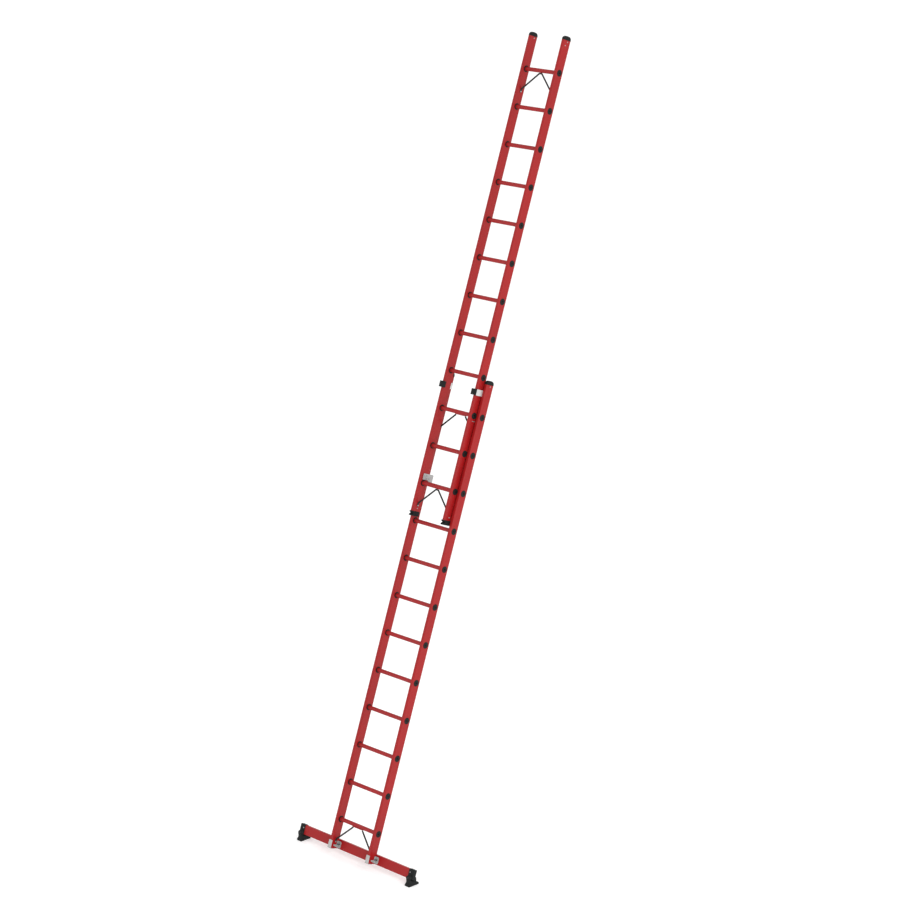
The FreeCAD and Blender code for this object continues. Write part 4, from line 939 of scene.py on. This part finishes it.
# ---------------------------------------------------------------- foot treads
# Softer rubber treads moulded under the soles, with seven grooves across for grip.
TREAD_INSET = 1.0 * MM
TREAD_BOTTOM = -53.8 * MM
GROOVE_COUNT = 7
GROOVE_HALF = 1.5 * MM
GROOVE_DEPTH = 2.5 * MM
tread_front, tread_rear = SOLE_FRONT + TREAD_INSET, SOLE_REAR - TREAD_INSET
tread_line = [(tread_front, SOLE_BOTTOM), (tread_front, TREAD_BOTTOM)]
for middle in np.linspace(tread_front, tread_rear, GROOVE_COUNT + 2)[1:-1]:
    tread_line += [(middle - GROOVE_HALF, TREAD_BOTTOM), (middle - GROOVE_HALF, TREAD_BOTTOM + GROOVE_DEPTH),
                   (middle + GROOVE_HALF, TREAD_BOTTOM + GROOVE_DEPTH), (middle + GROOVE_HALF, TREAD_BOTTOM)]
tread_line += [(tread_rear, TREAD_BOTTOM), (tread_rear, SOLE_BOTTOM)]
tread_outline = rounded(tread_line, 0.4 * MM, 3)
for side, sign in SIDES:
    pivot = own(PIVOTS["foot_%s_rock" % side])
    placed = np.stack([level(y, z) for y, z in tread_outline]) + pivot[1:]
    half = SOLE_HALF - TREAD_INSET
    tread = piece("grooved_tread_" + side, [pillow(placed, pivot[0] - half, pivot[0] + half, 0.7 * MM, "x")],
                  shoe_rubber)
    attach(tread, "foot_" + side)
    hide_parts("foot_tread_" + side)

# ---------------------------------------------------------------- foot pins
# Dark steel bolts that the feet rock on. Their round heads lie deep in the coned eyes,
# with a socket in front and a flanged nut behind.
PIN_RADIUS = 6.0 * MM
PIN_HEAD = 9.5 * MM
PIN_HEAD_HEIGHT = 6.0 * MM
PIN_PLAY = 0.4 * MM
PIN_SOCKET = 4.0 * MM
pins = []
for side, sign in SIDES:
    pivot = own(PIVOTS["foot_%s_rock" % side])
    front_seat = -(ARM_FACE + FRONT_REACH - RECESS_DEPTH) - PIN_PLAY
    rear_seat = ARM_FACE + REAR_REACH - RECESS_DEPTH + PIN_PLAY
    head = [(1.0 * MM, 3.4 * MM), (PIN_SOCKET, 3.4 * MM), (PIN_SOCKET, 0.4 * MM),
            (PIN_SOCKET + 0.4 * MM, 0.0), (PIN_HEAD - 0.9 * MM, 0.0), (PIN_HEAD, 0.9 * MM),
            (PIN_HEAD, PIN_HEAD_HEIGHT), (PIN_RADIUS, PIN_HEAD_HEIGHT)]
    line = [(r, front_seat - PIN_HEAD_HEIGHT + h) for r, h in head]
    line += [(r, rear_seat + PIN_HEAD_HEIGHT - h) for r, h in head[::-1]]
    pins.append(lathe(line, pivot, "y", steps=36))
foot_pins = piece("foot_pins", pins, dark_bolts_and_painted_shade)
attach(foot_pins, "lower_section")
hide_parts("lower_screws")

# ---------------------------------------------------------------- rivets
# Steel blind rivets with low domed heads, dimpled where the mandrel broke off. They hold
# the caps and shoes in the stiles and the housings on the crossbar. A shorter stud sits
# in the outer wall near each upper stile's top.
RIVET_RADIUS = 4.5 * MM
RIVET_SHANK = 2.5 * MM
RIVET_BACK = 5.0 * MM
CAP_RIVET_DROP = 11.5 * MM
SHOE_RIVET_RISE = 22.0 * MM
STUD_DROP = 39.0 * MM
STUD_FORWARD = 10.0 * MM
STUD_LENGTH = 8.0 * MM
HOUSING_RIVET_IN = 14.0 * MM
HOUSING_RIVET_RISE = 48.0 * MM


def rivet_line(grip):
    """Profile of a rivet over a grip length: dimple, dome, shank, dome and dimple again."""
    dome = [(0.6 * MM, -0.9 * MM), (1.2 * MM, -1.5 * MM), (2.4 * MM, -1.55 * MM), (3.5 * MM, -1.1 * MM),
            (4.2 * MM, -0.55 * MM), (RIVET_RADIUS, 0.0), (RIVET_SHANK, 0.0)]
    return dome + [(r, grip - h) for r, h in dome[::-1]]


bright_steel = grained("bright_steel", dark=(0.28, 0.28, 0.275), light=(0.42, 0.42, 0.415),
                       stretch=(1.0, 1.0, 1.0), streaks=1600.0, rough=(0.26, 0.42), bump=0.00003,
                       clouds=90.0, metal=0.6)
stud_line = rivet_line(0.0)[:7] + [(RIVET_SHANK, STUD_LENGTH)]
for section in ("lower", "upper"):
    shells = []
    for side, sign in SIDES:
        low, high = span("%s_stile_%s" % (section, side))
        y = (low[1] + high[1]) / 2.0
        places = [(y + RIVET_BACK, high[2] - CAP_RIVET_DROP)]
        if section == "upper":
            places.append((y + RIVET_BACK, low[2] + SHOE_RIVET_RISE))
            outward = [(r, -sign * h) for r, h in stud_line]
            shells.append(lathe(outward, (sign * max(abs(low[0]), abs(high[0])), y - STUD_FORWARD,
                                          high[2] - STUD_DROP), "x", steps=24))
        for place in places:
            shells.append(lathe(rivet_line(high[0] - low[0]), (low[0], *place), "x", steps=24))
    rivets = piece(section + "_stile_rivets", shells, bright_steel)
    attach(rivets, section + "_section")
    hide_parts(section + "_rivets")
front, grip = bar_low[1] - HOUSING_WALL, bar_high[1] - bar_low[1] + 2.0 * HOUSING_WALL
shells = []
for side, sign in SIDES:
    low, high = span("end_housing_" + side)
    mouth = min(abs(low[0]), abs(high[0]))
    spot = (sign * (mouth + HOUSING_RIVET_IN), front, HOUSING_RIVET_RISE)
    shells.append(lathe(rivet_line(grip), spot, "y", steps=24))
housing_rivets = piece("housing_rivets", shells, bright_steel)
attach(housing_rivets, "lower_section")
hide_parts("lower_rivets")

# ---------------------------------------------------------------- screws and hook pins
# Bright domed screws with a socket hold the flattened rod ends and the guide angles. The
# rung hooks swing on shouldered pins with a washer against the stile.
SCREW_RADIUS = 6.0 * MM
SCREW_HEIGHT = 4.0 * MM
SCREW_SHANK = 3.0 * MM
SCREW_LENGTH = 10.0 * MM
HOOK_STANDOFF = 2.2 * MM
HOOK_PLAY = 0.3 * MM
PIN_WASHER = 6.5 * MM
HOOK_PIN = 4.0 * MM
HOOK_PIN_DEPTH = 6.5 * MM
screw_line = [(0.5 * MM, -2.2 * MM), (2.2 * MM, -2.2 * MM), (2.3 * MM, -3.9 * MM), (2.7 * MM, -SCREW_HEIGHT),
              (3.7 * MM, -3.9 * MM), (4.7 * MM, -3.4 * MM), (5.5 * MM, -2.5 * MM), (5.9 * MM, -1.4 * MM),
              (SCREW_RADIUS, -0.4 * MM), (SCREW_RADIUS, 0.0), (SCREW_SHANK, 0.0),
              (SCREW_SHANK, SCREW_LENGTH)]
for section in ("lower", "upper"):
    wall_x = span(section + "_stile_right")[0][0]
    heads = []
    for index in (1, 12):
        rung_low, rung_high = span("%s_rung_%02d" % (section, index))
        y, z = (rung_low + rung_high)[1:] / 2.0
        heads.append((wall_x - 2.0 * TAB_HALF_THICK, y, z - SCREW_DROP))
    if section == "lower":
        low, high = span("guide_plate_right")
        step = (high[2] - low[2]) / 4.0
        heads += [(wall_x - SHEET, 0.0, low[2] + step), (wall_x - SHEET, 0.0, high[2] - step)]
    shells = []
    for side, sign in SIDES:
        turned = [(r, sign * h) for r, h in screw_line]
        shells += [lathe(turned, (sign * x, y, z), "x", steps=24) for x, y, z in heads]
    screws = piece(section + "_domed_screws", shells, bright_steel)
    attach(screws, section + "_section")
    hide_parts(section + "_screws")
plate_end = -(HOOK_STANDOFF + SHEET + HOOK_PLAY)
pin_line = [(HOOK_PIN, HOOK_PIN_DEPTH), (HOOK_PIN, 0.0), (PIN_WASHER, 0.0),
            (PIN_WASHER, HOOK_PLAY - HOOK_STANDOFF),
            (HOOK_PIN, HOOK_PLAY - HOOK_STANDOFF), (HOOK_PIN, plate_end), (PIN_WASHER, plate_end),
            (PIN_WASHER, plate_end - 2.6 * MM), (5.9 * MM, plate_end - 3.5 * MM),
            (4.8 * MM, plate_end - 4.0 * MM),
            (2.4 * MM, plate_end - 4.0 * MM), (2.2 * MM, plate_end - 2.6 * MM),
            (0.5 * MM, plate_end - 2.6 * MM)]
shells = []
for side, sign in SIDES:
    spot = own(PIVOTS["hook_%s_swing" % side])
    wall_x = span("upper_stile_right")[0][0]
    turned = [(r, sign * h) for r, h in pin_line]
    shells.append(lathe(turned, (sign * wall_x, spot[1], spot[2]), "x", steps=32))
hook_pins = piece("hook_pins", shells, bright_steel)
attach(hook_pins, "upper_section")
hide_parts("upper_screws")

# ---------------------------------------------------------------- extension mark
# A thin metal strip across the right upper stile's outer face, just under a rung end. It
# shows how far the upper section may be run out.
MARK_DROP = 40.0 * MM
MARK_FRONT = -9.0 * MM
MARK_REAR = 22.0 * MM
MARK_HALF_HEIGHT = 2.2 * MM
MARK_PROUD = 0.8 * MM
rung_low, rung_high = span("upper_rung_03")
y, z = (rung_low + rung_high)[1:] / 2.0
face_x = span("upper_stile_right")[1][0]
mark_low = z - MARK_DROP - MARK_HALF_HEIGHT
mark_high = z - MARK_DROP + MARK_HALF_HEIGHT
mark = rounded([(y + MARK_FRONT, mark_low), (y + MARK_REAR, mark_low),
                (y + MARK_REAR, mark_high), (y + MARK_FRONT, mark_high)],
               1.6 * MM)
strip = piece("extension_mark",
              [pillow(mark, face_x - 1.0 * MM, face_x + MARK_PROUD, 0.3 * MM, "x")], bright_steel)
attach(strip, "upper_section")

# ---------------------------------------------------------------- floor, light and camera
# A pale seamless floor, a white room light and one large soft lamp, with the camera
# off to the ladder's front right and a little above its middle.
FLOOR_HALF = 180.0
floor_mesh = bpy.data.meshes.new("studio_floor")
corners = ((-1, -1), (1, -1), (1, 1), (-1, 1))
floor_mesh.from_pydata([(x * FLOOR_HALF, y * FLOOR_HALF, 0.0) for x, y in corners],
                       [], [(0, 1, 2, 3)])
floor = bpy.data.objects.new("studio_floor", floor_mesh)
bpy.context.scene.collection.objects.link(floor)
paper = bpy.data.materials.new("studio_paper")
paper.use_nodes = True
PAPER_GLOW = 0.16
paper_inputs = paper.node_tree.nodes["Principled BSDF"].inputs
paper_inputs["Base Color"].default_value = (0.93, 0.93, 0.93, 1.0)
paper_inputs["Roughness"].default_value = 0.9
paper_inputs["Emission Color"].default_value = (1.0, 1.0, 1.0, 1.0)
paper_inputs["Emission Strength"].default_value = PAPER_GLOW
floor_mesh.materials.append(paper)

world = bpy.data.worlds.new("studio_white")
bpy.context.scene.world = world
world.use_nodes = True
world.node_tree.nodes["Background"].inputs["Color"].default_value = (1.0, 1.0, 1.0, 1.0)
world.node_tree.nodes["Background"].inputs["Strength"].default_value = 1.0

AIM_RAISE = 3.0 * MM
centre = (Vector(cad_box[0]) + Vector(cad_box[1])) / 2.0 + Vector((0.0, 0.0, AIM_RAISE))
AZIMUTH = math.radians(45.79)
ELEVATION = math.radians(15.44)
DISTANCE = 20.7
LENS = 114.92
ROLL = -0.0039
toward = Vector((math.sin(AZIMUTH) * math.cos(ELEVATION), -math.cos(AZIMUTH) * math.cos(ELEVATION),
                 math.sin(ELEVATION)))
camera_data = bpy.data.cameras.new("camera")
camera_data.sensor_width = 36.0
camera_data.lens = LENS
camera_data.clip_end = 500.0
camera = bpy.data.objects.new("camera", camera_data)
bpy.context.scene.collection.objects.link(camera)
camera.location = centre + toward * DISTANCE
camera.rotation_mode = "QUATERNION"
camera.rotation_quaternion = (-toward).to_track_quat("-Z", "Y") @ Quaternion((0.0, 0.0, 1.0), ROLL)
bpy.context.scene.camera = camera


def soft_lamp(name, place, size, power):
    """A square area lamp that faces the middle of the ladder."""
    data = bpy.data.lights.new(name, "AREA")
    data.size = size
    data.energy = power
    lamp = bpy.data.objects.new(name, data)
    bpy.context.scene.collection.objects.link(lamp)
    lamp.location = place
    lamp.rotation_mode = "QUATERNION"
    lamp.rotation_quaternion = (centre - lamp.location).to_track_quat("-Z", "Y")
    return lamp


soft_lamp("right_softbox", Vector((10.0, -4.0, 6.0)), 6.0, 500.0)
bpy.context.scene.view_settings.view_transform = "Standard"
